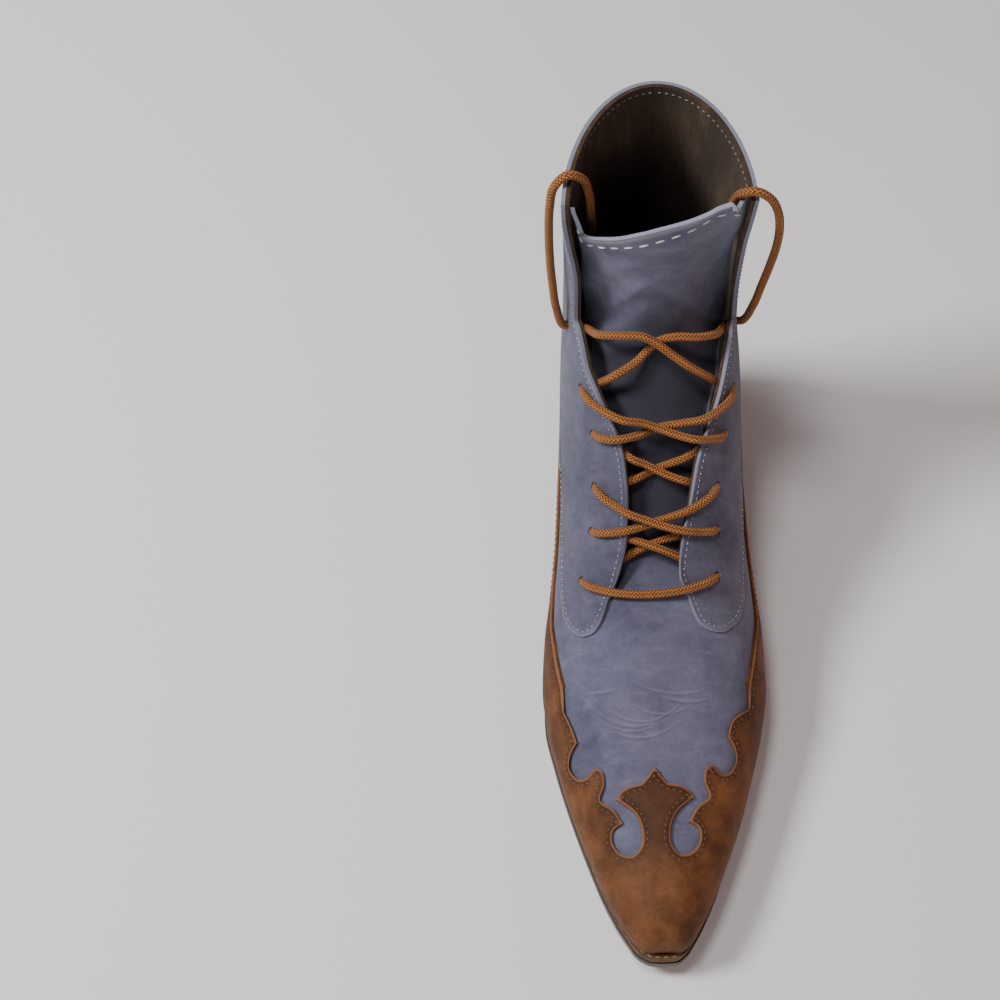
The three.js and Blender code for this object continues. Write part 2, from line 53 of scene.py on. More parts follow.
look_aside = math.radians(1.23)
eye = Vector((-0.0404, -0.3925, 0.6672))

to_the_right = Vector((math.cos(look_aside), -math.sin(look_aside), 0))
ahead = Vector((
    math.cos(look_down) * math.sin(look_aside),
    math.cos(look_down) * math.cos(look_aside),
    -math.sin(look_down),
))
upwards = to_the_right.cross(ahead)
camera_data = bpy.data.cameras.new("camera")
camera_data.sensor_width = 36
camera_data.lens = camera_data.sensor_width * focal_length_px / picture_size
camera_data.shift_x = 0.5 - picture_centre_px[0] / picture_size
camera_data.shift_y = picture_centre_px[1] / picture_size - 0.5
camera = bpy.data.objects.new("camera", camera_data)
camera.matrix_world = Matrix.Translation(eye) @ Matrix((to_the_right, upwards, -ahead)).transposed().to_4x4()
bpy.context.collection.objects.link(camera)
bpy.context.scene.camera = camera


# Outsole: one thick piece of bark-tanned leather, cut to the last's outline, pulled up at the
# toe and bent down over the arch. Its edge is stained dark and burnished, its tread is worn.
millimetre = 0.001
heel_centre = 249
sole_length = 288
ball_width = 96
heel_height = 41
outsole_thickness = 5
outline = np.array([
    (0, 0, 0),
    (0.001, 0.05, 0.05),
    (0.01, 0.103, 0.093),
    (0.035, 0.156, 0.146),
    (0.083, 0.229, 0.221),
    (0.146, 0.3, 0.296),
    (0.215, 0.369, 0.369),
    (0.292, 0.435, 0.44),
    (0.368, 0.481, 0.492),
    (0.444, 0.485, 0.51),
    (0.521, 0.438, 0.474),
    (0.597, 0.356, 0.396),
    (0.681, 0.312, 0.339),
    (0.771, 0.323, 0.339),
    (0.854, 0.339, 0.344),
    (0.924, 0.308, 0.312),
    (0.972, 0.214, 0.216),
    (0.996, 0.099, 0.099),
    (1, 0, 0),
])
stations = np.arange(len(outline))
bottom_profile = np.array([
    (0, 0.22),
    (0.069, 0.122),
    (0.156, 0.039),
    (0.25, 0),
    (0.375, 0),
    (0.444, 0.029),
    (0.514, 0.159),
    (0.597, 0.451),
    (0.681, 0.707),
    (0.757, 0.866),
    (0.851, 0.939),
    (1, 1),
])


def through(stops, values, at):
    """A smooth curve through a table's column that never swings past the rows it joins"""
    stops, values = np.asarray(stops, float), np.asarray(values, float)
    at = np.clip(at, stops[0], stops[-1])
    rise = np.diff(values) / np.diff(stops)
    slope = np.zeros_like(values)
    slope[0], slope[-1] = rise[0], rise[-1]
    steady = rise[:-1] * rise[1:] > 0
    slope[1:-1][steady] = (2 * rise[:-1] * rise[1:])[steady] / (rise[:-1] + rise[1:])[steady]
    row = np.clip(np.searchsorted(stops, at, side="left") - 1, 0, len(stops) - 2)
    span = stops[row + 1] - stops[row]
    part = (at - stops[row]) / span
    ease = part * part * (3 - 2 * part)
    bend = part * (1 - part) * (slope[row] * (1 - part) - slope[row + 1] * part)
    return values[row] * (1 - ease) + values[row + 1] * ease + bend * span


def bottom_at(along):
    return heel_height * through(bottom_profile[:, 0], bottom_profile[:, 1], along / sole_length)


def outline_at(station, margin):
    """The outline drawn in by a margin: its place along, and its inner and outer half widths"""
    tip_ease = 8
    along = sole_length * through(stations, outline[:, 0], station)
    along = margin + along * (sole_length - 2 * margin) / sole_length
    widths = [ball_width * through(stations, outline[:, column], station) for column in (1, 2)]
    return along, *(width * (1 - margin / (width + tip_ease)) for width in widths)


def plate_surface(margin, height, rows, columns, dish=0.0):
    """A surface with the sole's outline that follows its bottom, raised by a height"""
    station = np.linspace(0, stations[-1], rows + 1)
    along, inner, outer = outline_at(station, margin)
    side = np.sin(np.linspace(-0.5, 0.5, columns + 1) * math.pi)[None, :]
    x = np.where(side < 0, side * inner[:, None], side * outer[:, None])
    z = (bottom_at(along) + height)[:, None] - dish * (1 - side * side)
    return np.stack([x, np.broadcast_to((along - heel_centre)[:, None], x.shape), z], axis=-1)


def add_grid(bm, spots, outer, inner):
    """Adds a grid laid on an outer surface, and notes where its inner side will lie"""
    spot = bm.verts.layers.int.get("spot") or bm.verts.layers.int.new("spot")
    rows, columns = outer.shape[0] - 1, outer.shape[1] - 1
    made = bmesh.ops.create_grid(bm, x_segments=columns, y_segments=rows, size=0.5, calc_uvs=True)
    start = sum(len(part) for part in spots)
    for vertex in made["verts"]:
        column = round((vertex.co.x + 0.5) * columns)
        row = round((vertex.co.y + 0.5) * rows)
        vertex[spot] = start + row * (columns + 1) + column
        vertex.co = outer[row, column] * millimetre
    spots.append(inner.reshape(-1, 3) * millimetre)


def thicken(bm, spots):
    """Joins the grids of a bmesh where they meet and closes them with their inner side"""
    bmesh.ops.remove_doubles(bm, verts=bm.verts, dist=2e-6)
    spot = bm.verts.layers.int["spot"]
    inner = np.concatenate(spots)
    grown = bmesh.ops.extrude_face_region(bm, geom=bm.faces[:])
    for item in grown["geom"]:
        if isinstance(item, bmesh.types.BMVert):
            item.co = inner[item[spot]]
    bmesh.ops.recalc_face_normals(bm, faces=bm.faces)


def soften(bm, sharpest=35):
    """Shades faces smoothly and keeps the edges that turn further than an angle"""
    for face in bm.faces:
        face.smooth = True
    for edge in bm.edges:
        edge.smooth = not edge.is_manifold or edge.calc_face_angle(0) < math.radians(sharpest)


def new_object(name, bm, *materials):
    mesh = bpy.data.meshes.new(name)
    bm.to_mesh(mesh)
    bm.free()
    piece = bpy.data.objects.new(name, mesh)
    bpy.context.collection.objects.link(piece)
    for material in materials:
        mesh.materials.append(material)
    return piece


def solid_between(name, outer, inner, *materials):
    bm = bmesh.new()
    bm.loops.layers.uv.new("sheet")
    spots = []
    add_grid(bm, spots, outer, inner)
    thicken(bm, spots)
    soften(bm)
    return new_object(name, bm, *materials)


def round_edges(piece, width, steps=2):
    bevel = piece.modifiers.new("rounded edges", "BEVEL")
    bevel.width = width * millimetre
    bevel.segments = steps
    bevel.limit_method = "ANGLE"
    bevel.angle_limit = math.radians(50)
    bevel.harden_normals = False


def put_on(piece, slot, *nodes):
    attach(piece, "root")
    if nodes:
        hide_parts(*nodes)


def new_material(name, **sockets):
    """A material and its nodes, with the values of its shader that are the same all over"""
    material = bpy.data.materials.new(name)
    material.use_nodes = True
    tree = material.node_tree
    for socket, value in sockets.items():
        tree.nodes["Principled BSDF"].inputs[socket.replace("_", " ")].default_value = value
    return material, tree


def finish_material(material, colour, relief):
    """Joins a colour and a relief to a material's shader"""
    tree = material.node_tree
    shader = tree.nodes["Principled BSDF"]
    tree.links.new(colour, shader.inputs["Base Color"])
    tree.links.new(relief, shader.inputs["Normal"])
    return material


def node(tree, kind, inputs, **settings):
    """A node of a material, with its settings, and values or links for its inputs"""
    made = tree.nodes.new("ShaderNode" + kind)
    for name, value in settings.items():
        setattr(made, name, value)
    for name, value in inputs.items():
        if isinstance(value, bpy.types.NodeSocket):
            tree.links.new(value, made.inputs[name])
        else:
            made.inputs[name].default_value = value
    return made


def object_places(tree):
    return node(tree, "TexCoord", {}).outputs["Object"]


def maths(tree, operation, first, second=0.0):
    return node(tree, "Math", {0: first, 1: second}, operation=operation).outputs[0]


def both(tree, first, first_share, second, second_share):
    """The sum of two values, each times its own share"""
    first_part = maths(tree, "MULTIPLY", first, first_share)
    return maths(tree, "ADD", first_part, maths(tree, "MULTIPLY", second, second_share))


def noise(tree, where, scale, detail=2.0, roughness=0.5, stretch=(1, 1, 1)):
    mapped = node(tree, "Mapping", {"Vector": where, "Scale": stretch})
    inputs = {"Vector": mapped.outputs[0], "Scale": scale, "Detail": detail, "Roughness": roughness}
    return node(tree, "TexNoise", inputs).outputs["Fac"]


def ramp(tree, value, stops):
    """Colours by a value: each stop is a place and a grey or a colour"""
    made = node(tree, "ValToRGB", {"Fac": value})
    band = made.color_ramp
    while len(band.elements) < len(stops):
        band.elements.new(0.5)
    for element, (at, colour) in zip(band.elements, stops):
        element.position = at
        shade = (colour,) * 3 if isinstance(colour, (int, float)) else colour
        element.color = (*shade, 1)
    return made.outputs["Color"]


def blend(tree, share, first, second, way="MIX"):
    made = node(tree, "Mix", {0: share}, data_type="RGBA", blend_type=way)
    for socket, value in ((made.inputs[6], first), (made.inputs[7], second)):
        if isinstance(value, bpy.types.NodeSocket):
            tree.links.new(value, socket)
        else:
            socket.default_value = (*value, 1)
    return made.outputs[2]


def bump(tree, height, depth, under=None):
    inputs = {"Height": height, "Strength": 1.0, "Distance": depth * millimetre}
    if under:
        inputs["Normal"] = under
    return node(tree, "Bump", inputs).outputs[0]


def stained_sole_leather():
    material, tree = new_material("stained_sole_leather", Roughness=0.55, Coat_Weight=0.08)
    where = object_places(tree)
    fibres = noise(tree, where, 900, 4, 0.6, (0.25, 0.25, 1))
    stain = noise(tree, where, 60, 4)
    edge = ramp(tree, both(tree, fibres, 0.5, stain, 0.5), [
        (0.3, (0.018, 0.009, 0.006)),
        (0.55, (0.05, 0.024, 0.014)),
        (0.8, (0.105, 0.052, 0.028)),
    ])
    facing = node(tree, "SeparateXYZ", {0: node(tree, "NewGeometry", {}).outputs["Normal"]})
    below = ramp(tree, maths(tree, "MULTIPLY", facing.outputs["Z"], -1), [(0.6, 0.0), (0.8, 1.0)])
    wear_and_painted_light = noise(tree, where, 22, 5, 0.6)
    tread = ramp(tree, wear_and_painted_light, [
        (0.3, (0.11, 0.06, 0.034)),
        (0.55, (0.2, 0.118, 0.068)),
        (0.75, (0.28, 0.18, 0.11)),
    ])
    return finish_material(material, blend(tree, below, edge, tread), bump(tree, fibres, 0.12))


sole_leather = stained_sole_leather()
outsole = solid_between(
    "outsole_leather",
    plate_surface(0, 0, 150, 16),
    plate_surface(0, outsole_thickness, 150, 16),
    sole_leather,
)
round_edges(outsole, 0.7)
put_on(outsole, "sole_leather", "outsole")


# Welt: a narrow strip of tan leather round the upper's foot, on the outsole. The sole is sewn
# to it with one row of thick waxed thread that lies in a shallow channel.
clearance = 0.3
welt_thickness = 3
welt_top = outsole_thickness + welt_thickness
upper_margin = 3.2
welt_margin = 0.6
under_the_upper = 4
glue_gap = 0.1


def ring_surface(outer_margin, inner_margin, height, around=320, across=4):
    """A flat ring that follows the sole's outline, from its heel round by the toe and back"""
    station = np.abs(np.linspace(-stations[-1], stations[-1], around + 1))
    outer_side = np.linspace(-1, 1, around + 1) > 0
    rows = []
    for share in np.linspace(0, 1, across + 1):
        margin = outer_margin + (inner_margin - outer_margin) * share
        along, inner, outer = outline_at(station, margin)
        x = np.where(outer_side, outer, -inner)
        rows.append(np.stack([x, along - heel_centre, bottom_at(along) + height], axis=-1))
    return np.stack(rows)


def waxed_welt_leather():
    material, tree = new_material("waxed_welt_leather", Roughness=0.6, Coat_Weight=0.05)
    where = object_places(tree)
    stain = noise(tree, where, 70, 5, 0.6)
    grain = noise(tree, where, 1300, 3)
    tone = ramp(tree, stain, [
        (0.3, (0.05, 0.024, 0.011)),
        (0.5, (0.13, 0.064, 0.026)),
        (0.72, (0.235, 0.125, 0.05)),
    ])
    return finish_material(material, tone, bump(tree, maths(tree, "ADD", grain, stain), 0.15))


welt = solid_between(
    "welt_strip",
    ring_surface(welt_margin, upper_margin + under_the_upper, welt_top),
    ring_surface(welt_margin, upper_margin + under_the_upper, outsole_thickness + glue_gap),
    waxed_welt_leather(),
)
round_edges(welt, 0.5)
put_on(welt, "welt_leather", "welt")


def thread(name, colour, dark):
    material, tree = new_material(name, Roughness=0.7, Sheen_Weight=0.1)
    where = object_places(tree)
    twist = noise(tree, where, 1900, 2)
    tone = ramp(tree, twist, [(0.3, dark), (0.6, colour)])
    return finish_material(material, tone, bump(tree, twist, 0.1))


def add_stitch(bm, middle, ahead_of_it, out, length, width):
    """One stitch: a short plump thread that dips into the leather at both ends"""
    ahead_of_it = Vector(ahead_of_it).normalized()
    out = Vector(out)
    out = (out - ahead_of_it * out.dot(ahead_of_it)).normalized()
    turn = Matrix((ahead_of_it, out.cross(ahead_of_it), out)).transposed().to_4x4()
    size = Matrix.Diagonal((length / 2, width / 2, width / 2, 1))
    matrix = Matrix.Translation(Vector(middle) * millimetre) @ turn @ size
    matrix = matrix @ Matrix.Scale(millimetre, 4)
    bmesh.ops.create_uvsphere(bm, u_segments=6, v_segments=5, radius=1, matrix=matrix)


def run_along(line):
    """The distance along a line to each of its points"""
    return np.concatenate([[0], np.cumsum(np.linalg.norm(np.diff(line, axis=0), axis=1))])


def at_run(at, run, values):
    """What three columns of values come to at distances along a line"""
    return np.stack([np.interp(at, run, values[:, axis]) for axis in range(3)], axis=-1)


def sew(name, rows, pitch, length, width, material, slot):
    """Rows of stitches: each row is a dense line of points and the way out of the leather there"""
    bm = bmesh.new()
    for line, out in rows:
        run = run_along(line)
        for at in np.arange(pitch / 2, run[-1], pitch):
            before, middle, after = (at_run(at + step, run, line) for step in (-length / 2, 0, length / 2))
            ahead_of_it = Vector(after) - Vector(before)
            add_stitch(bm, middle, ahead_of_it, at_run(at, run, out), length, width)
    for face in bm.faces:
        face.smooth = True
    put_on(new_object(name, bm, material), slot)


welt_row_margin = 2.1
thread_lift = 0.12
sewn_to = 0.7
welt_row = ring_surface(welt_row_margin, welt_row_margin, welt_top + thread_lift, 900, 1)[0]
welt_row = welt_row[welt_row[:, 1] + heel_centre < sewn_to * sole_length]
welt_thread = thread("waxed_thread", (0.34, 0.2, 0.09), (0.12, 0.06, 0.025))
straight_up = np.tile((0, 0, 1.0), (len(welt_row), 1))
sew("welt_stitches", [(welt_row, straight_up)], 3.4, 2.7, 0.8, welt_thread, "welt_leather")


# Heel: five lifts of stacked leather over a thin rubber top piece. They are glued and nailed,
# ground to one slanting wall, stained and waxed, so the seams between them stay as fine lines.
heel_base_length = 56
heel_base_width = 56
heel_top_width = 62
heel_back_slant = 9
heel_breast_slant = 5
top_piece_share = 6 / heel_height
lift_count = 5
heel_squareness = 0.6


def heel_surface(share, inset=0.0, turns=40, columns=12):
    angle = np.linspace(0, 0.5 * math.pi, turns + 1)
    half_width = (heel_base_width + (heel_top_width - heel_base_width) * share) / 2 - inset
    breast = heel_centre - heel_base_length / 2 - heel_breast_slant * share + inset
    back = heel_centre + heel_base_length / 2 + heel_back_slant * share - inset
    along = breast + (back - breast) * np.sin(angle)
    x = half_width * np.maximum(np.cos(angle), 0) ** heel_squareness
    side = np.linspace(-1, 1, columns + 1)[None, :]
    z = share * (bottom_at(along) - clearance)
    y = (along - heel_centre)[:, None]
    return np.stack(np.broadcast_arrays(side * x[:, None], y, z[:, None]), axis=-1)


def stacked_heel_leather(tone):
    name = f"stacked_heel_leather_{tone}"
    material, tree = new_material(name, Roughness=0.42, Coat_Weight=0.15)
    where = object_places(tree)
    layers = noise(tree, where, 700, 3, 0.6, (0.06, 0.06, 1))
    stain = noise(tree, where, 45, 4)
    mixed = both(tree, layers, 0.65, stain, 0.35)
    lighter = 1 + 0.35 * math.sin(2.4 * tone)
    stops = [(0.3, (0.02, 0.009, 0.005)), (0.52, (0.062, 0.028, 0.014)), (0.75, (0.12, 0.06, 0.03))]
    stops = [(at, tuple(part * lighter for part in colour)) for at, colour in stops]
    return finish_material(material, ramp(tree, mixed, stops), bump(tree, layers, 0.12))


def heel_rubber():
    material, tree = new_material("heel_rubber", Roughness=0.75)
    where = object_places(tree)
    scuffs = noise(tree, where, 140, 5, 0.65)
    tone = ramp(tree, scuffs, [
        (0.35, (0.009, 0.008, 0.008)),
        (0.6, (0.022, 0.02, 0.019)),
        (0.8, (0.06, 0.055, 0.05)),
    ])
    return finish_material(material, tone, bump(tree, scuffs, 0.15))


top_piece = solid_between(
    "heel_top_piece_rubber",
    heel_surface(0),
    heel_surface(top_piece_share - 0.003),
    heel_rubber(),
)
round_edges(top_piece, 0.5)
put_on(top_piece, "heel_rubber", "heel_top_piece")
for lift in range(lift_count):
    layer = (1 - top_piece_share) / lift_count
    low_share = top_piece_share + lift * layer
    lift_piece = solid_between(
        f"heel_lift_{lift + 1}_leather",
        heel_surface(low_share + 0.002),
        heel_surface(low_share + layer),
        stacked_heel_leather(lift),
    )
    round_edges(lift_piece, 0.25)
    put_on(lift_piece, "sole_leather", f"heel_lift_{lift + 1}")


# Insole: a leather board covered with grey felted cloth, which shows through the collar under
# the heel. It is glued down inside the welt and dished a little by the foot.
insole_margin = 6.8
insole_low = outsole_thickness + clearance
insole_thickness = 5.5
insole_dish = 1.2


def felted_cloth():
    material, tree = new_material("felted_cloth", Roughness=0.95, Sheen_Weight=0.2)
    where = object_places(tree)
    fleck = noise(tree, where, 900, 3, 0.7)
    tone = ramp(tree, fleck, [
        (0.35, (0.035, 0.033, 0.034)),
        (0.55, (0.1, 0.098, 0.098)),
        (0.75, (0.3, 0.29, 0.27)),
    ])
    return finish_material(material, tone, bump(tree, fleck, 0.3))


insole = solid_between(
    "insole_sock",
    plate_surface(insole_margin, insole_low + insole_thickness, 110, 14, insole_dish),
    plate_surface(insole_margin, insole_low, 110, 14),
    felted_cloth(),
)
round_edges(insole, 0.6)
put_on(insole, "insole_leather", "insole")


# Upper: the leather is lasted over the foot's form, so every piece of it lies on one surface.
# That surface is a fan of sections, each from its foot on the sole, or up the back seam, to its
# head on the ridge of the vamp, instep and shaft. A share is 0 on the ridge, -1 and 1 at the feet.
upper_height = 159
section_columns = "seat along rise inner outer level fullness ridge back lean".split()
section_rows = np.array([
    (1, 0.014, 0.007, 0.043, 0.043, 0.35, 2.3, 0, 0, 0),
    (1.5, 0.016, 0.048, 0.077, 0.077, 0.35, 2.4, 0, 0, 0),
    (2.1, 0.028, 0.09, 0.109, 0.106, 0.36, 2.4, 0, 0, 0),
    (2.8, 0.05, 0.121, 0.142, 0.137, 0.36, 2.35, 0, 0, 0),
    (3.7, 0.085, 0.147, 0.2, 0.196, 0.36, 2.3, 0, 0, 0),
    (4.7, 0.135, 0.176, 0.269, 0.269, 0.36, 2.25, -0.003, 0, 0),
    (5.7, 0.198, 0.208, 0.343, 0.345, 0.34, 2.2, -0.008, 0, 0),
    (6.6, 0.26, 0.241, 0.399, 0.404, 0.32, 2.15, -0.015, 0, 0),
    (7.5, 0.323, 0.281, 0.445, 0.456, 0.3, 2.1, -0.021, 0, 0),
    (8.35, 0.389, 0.334, 0.471, 0.485, 0.29, 2, -0.025, 0, 0),
    (9.3, 0.451, 0.382, 0.46, 0.481, 0.28, 1.95, -0.025, 0, 0),
    (10.3, 0.51, 0.412, 0.429, 0.452, 0.28, 1.9, -0.021, 0, 0),
    (11.25, 0.566, 0.433, 0.403, 0.425, 0.29, 1.9, -0.015, 0, 0),
    (12.2, 0.618, 0.465, 0.389, 0.41, 0.31, 1.9, -0.008, 0, 0),
    (13.15, 0.663, 0.514, 0.379, 0.404, 0.34, 1.95, 0, 0, 0),
    (14.2, 0.698, 0.581, 0.373, 0.4, 0.38, 2, 0, 0, 0),
    (15.2, 0.719, 0.641, 0.367, 0.392, 0.42, 2.05, 0, 0, 0),
    (16.3, 0.729, 0.686, 0.361, 0.381, 0.45, 2.1, 0, 0, 0),
    (18, 0.735, 0.727, 0.357, 0.373, 0.47, 2.1, 0, 0.013, 0),
    (18, 0.74, 0.769, 0.353, 0.365, 0.48, 2.1, 0, 0.151, 0.006),
    (18, 0.742, 0.812, 0.351, 0.358, 0.51, 2.1, 0, 0.346, -0.005),
    (18, 0.744, 0.855, 0.352, 0.356, 0.57, 2, 0, 0.566, -0.015),
    (18, 0.747, 0.898, 0.356, 0.361, 0.67, 1.95, 0, 0.786, -0.018),
    (18, 0.748, 0.942, 0.363, 0.37, 0.8, 1.9, 0, 1, -0.013),
])
section_numbers = np.arange(len(section_rows))
collar = float(section_numbers[-1])
heel_section = float(np.argmax(section_rows[:, 0] == stations[-1]))


def seat_at(along):
    return bottom_at(along) + welt_top + clearance


def half_section(number, side, shares):
    """Half a section from its head to its foot, at shares of its girth"""
    values = {
        name: float(through(section_numbers, section_rows[:, column], number))
        for column, name in enumerate(section_columns)
    }
    foot, inner, outer = (float(part) for part in outline_at(values["seat"], upper_margin))
    foot_width = inner if side < 0 else outer
    width = ball_width * values["inner" if side < 0 else "outer"]
    ridge = ball_width * values["ridge"]
    power = 2 / values["fullness"]
    level = values["level"]
    foot_height = seat_at(foot) + upper_height * values["back"]
    low = np.array((foot + sole_length * values["lean"], foot_height))
    head = sole_length * values["along"]
    high = np.array((head, seat_at(head) + upper_height * values["rise"]))
    tuck = math.acos(min(foot_width / width, 0.985))
    arch = np.linspace(0, 0.5 * math.pi, 81)
    hook = np.linspace(0, 1, 41)[1:] * tuck
    x = np.concatenate([
        ridge + (side * width - ridge) * np.sin(arch) ** power,
        side * width * np.cos(hook),
    ])
    height = np.concatenate([
        level + (1 - level) * np.abs(np.cos(arch)) ** power,
        level * (1 - np.sin(hook) / math.sin(tuck)),
    ])[:, None]
    flat = low + (high - low) * height
    line = np.stack([x, flat[:, 0] - heel_centre, flat[:, 1]], axis=1)
    girth = run_along(line)
    return at_run(shares * girth[-1], girth, line)


number_step = 0.05
share_steps = 240
close_numbers = np.linspace(0, collar, round(collar / number_step) + 1)
close_shares = np.linspace(0, 1, share_steps + 1)
halves = {
    side: np.array([half_section(number, side, close_shares) for number in close_numbers])
    for side in (-1, 1)
}
# in sections: how soon the toe's tip closes down to the welt
tip_closes = 0.4
tip_height = np.sin(0.5 * math.pi * np.clip(close_numbers / tip_closes, 0, 1))[:, None]
for half in halves.values():
    foot = half[:, -1:, 2]
    half[..., 2] = foot + (half[..., 2] - foot) * tip_height


def surface(number, share):
    """Points of the surface; past the collar it runs straight on"""
    number, share = np.broadcast_arrays(np.asarray(number, float), np.asarray(share, float))
    on_inner = (share < 0) & ~((number >= heel_section) & (share <= -1))
    row = np.maximum(number, 0) / number_step
    low = np.minimum(row.astype(int), len(close_numbers) - 2)
    column = np.minimum(np.abs(share), 1) * share_steps
    left = np.minimum(column.astype(int), share_steps - 1)
    up, across = (row - low)[..., None], (column - left)[..., None]

    def on(table):
        lower = table[low, left] * (1 - across) + table[low, left + 1] * across
        upper = table[low + 1, left] * (1 - across) + table[low + 1, left + 1] * across
        return lower * (1 - up) + upper * up

    return np.where(on_inner[..., None], on(halves[-1]), on(halves[1]))


number_probe = 0.1
share_probe = 0.02


def outward(number, share):
    """The way out of the surface, which on the back seam is the same from either side"""
    number, share = np.broadcast_arrays(np.asarray(number, float), np.asarray(share, float))
    closed = number >= heel_section

    def wrapped(value):
        past = np.where(np.abs(value) > 1, value - 2 * np.sign(value), value)
        return np.where(closed, past, np.clip(value, -1, 1))

    def slope(at):
        around = surface(number, wrapped(at + share_probe)) - surface(number, wrapped(at - share_probe))
        below = np.clip(number - number_probe, 0, collar - 2 * number_probe)
        above = np.minimum(number + number_probe, collar)
        upward = surface(above, at) - surface(below, at)
        way = np.cross(around, upward)
        return way / np.linalg.norm(way, axis=-1)[..., None]

    seam = (closed & (np.abs(share) >= 1))[..., None]
    shared = slope(np.ones_like(share)) + slope(-np.ones_like(share))
    shared /= np.linalg.norm(shared, axis=-1)[..., None]
    return np.where(seam, shared, slope(share))


def skin(number, share, lift=0.0):
    """Points of the surface, lifted off it by a height"""
    return surface(number, share) + outward(number, share) * np.asarray(lift, float)[..., None]


def edge_table(rows):
    rows = np.array(rows)
    return lambda number, side: through(rows[:, 0], rows[:, 1 if side < 0 else 2], number)


throat_edge = edge_table([
    (10.3, 0.19, 0.15),
    (10.8, 0.15, 0.133),
    (11.5, 0.117, 0.15),
    (12.2, 0.11, 0.18),
    (13.1, 0.127, 0.207),
    (13.8, 0.165, 0.24),
    (14.7, 0.235, 0.29),
    (15.6, 0.28, 0.31),
    (17.5, 0.295, 0.335),
    (20, 0.315, 0.395),
    (21.4, 0.375, 0.417),
    (23, 0.41, 0.415),
])
throat_start = 10.3


# Nubuck: blue grey, sanded to a short nap that shows clouds, rub marks and paler cut edges.
# Shade is painted darker into the vamp's crease troughs and down the tongue's channel between the flaps, and
# highlight is painted paler along the creases' crests.
def rolled_edge(tree, edge, reach):
    """Rises smoothly from 0 at a cut edge to 1 at a reach from it"""
    inputs = {0: edge, 1: 0.0, 2: reach, 3: 0.0, 4: 1.0}
    return node(tree, "MapRange", inputs, interpolation_type="SMOOTHSTEP").outputs[0]


# light scales the nubuck's colours; below 1 it paints shade over the whole copy
def nubuck(name, light=1.0):
    material, tree = new_material(name, Roughness=0.93, Sheen_Weight=0.12, Sheen_Roughness=0.5)
    where = object_places(tree)
    clouds = noise(tree, where, 30, 6, 0.62, (1, 0.7, 1))
    rubs = noise(tree, where, 95, 6, 0.72, (0.55, 1, 1))
    nap = noise(tree, where, 1700, 3, 0.6)
    tone = both(tree, clouds, 0.6, rubs, 0.5)
    stops = [
        (0.35, (0.062, 0.058, 0.1)),
        (0.49, (0.106, 0.102, 0.162)),
        (0.6, (0.144, 0.14, 0.212)),
        (0.74, (0.205, 0.2, 0.28)),
    ]
    dye_and_painted_shade = ramp(tree, tone, [(at, tuple(part * light for part in colour)) for at, colour in stops])
    streaks = ramp(tree, noise(tree, where, 260, 6, 0.78, (0.3, 1, 0.3)), [(0.56, 0.0), (0.8, 1.0)])
    rubbed = blend(tree, maths(tree, "MULTIPLY", streaks, 0.6), dye_and_painted_shade, (0.25, 0.24, 0.31))
    speckled = blend(tree, 0.5, rubbed, ramp(tree, nap, [(0.3, 0.55), (0.7, 1.0)]), "MULTIPLY")
    # this attribute paints highlight on the crease crests and shade in their troughs and down the tongue's
    # channel; the tongue is also paler near its top
    wear_and_painted_light_amount = node(tree, "Attribute", {}, attribute_name="wear_and_painted_light").outputs["Fac"]
    wear_and_painted_highlight = blend(tree, maths(tree, "MAXIMUM", wear_and_painted_light_amount, 0), speckled, (0.3, 0.29, 0.36))
    dark = maths(tree, "MAXIMUM", maths(tree, "MULTIPLY", wear_and_painted_light_amount, -1), 0)
    # painted shade colour, for the crease troughs and the tongue's channel
    painted_shade = blend(tree, dark, wear_and_painted_highlight, (0.028, 0.026, 0.042))
    edge = node(tree, "Attribute", {}, attribute_name="edge_mm").outputs["Fac"]
    fading = [(0.0, 1.0), (0.12, 0.75), (0.45, 0.35), (0.6, 0.0)]
    near_edge = ramp(tree, maths(tree, "DIVIDE", edge, 4), fading)
    edged = blend(tree, maths(tree, "MULTIPLY", near_edge, 0.6), painted_shade, (0.29, 0.29, 0.385))
    sewn = ramp(tree, maths(tree, "DIVIDE", edge, 5), [(0.34, 1.0), (0.46, 0.0), (0.58, 1.0)])
    height = both(tree, rolled_edge(tree, edge, 1.6), 0.7, sewn, 0.2)
    grain = both(tree, nap, 0.45, rubs, 0.8)
    return finish_material(material, edged, bump(tree, grain, 0.24, bump(tree, height, 1.0)))


def suede_lining():
    material, tree = new_material("suede_lining", Roughness=0.95, Sheen_Weight=0.05)
    where = object_places(tree)
    clouds = noise(tree, where, 75, 6, 0.7, (1, 1, 0.3))
    nap = noise(tree, where, 1100, 3, 0.65)
    tone = both(tree, clouds, 0.7, nap, 0.3)
    dye_and_painted_shade = ramp(tree, tone, [
        (0.32, (0.018, 0.01, 0.006)),
        (0.52, (0.055, 0.03, 0.015)),
        (0.7, (0.14, 0.085, 0.046)),
    ])
    return finish_material(material, dye_and_painted_shade, bump(tree, tone, 0.35))


# Vamp and tongue: one piece of nubuck from the toe to the shaft. Behind the vamp it narrows to a
# tongue that sinks between the flaps. The toes' bend has left shallow creases across the vamp.
tongue_top = 22.6
leather_thickness = 1.6
# how deep the flaps' underside lies, and a distance that stands for no cut edge near
flap_underside = 1.8
no_edge = 9.0
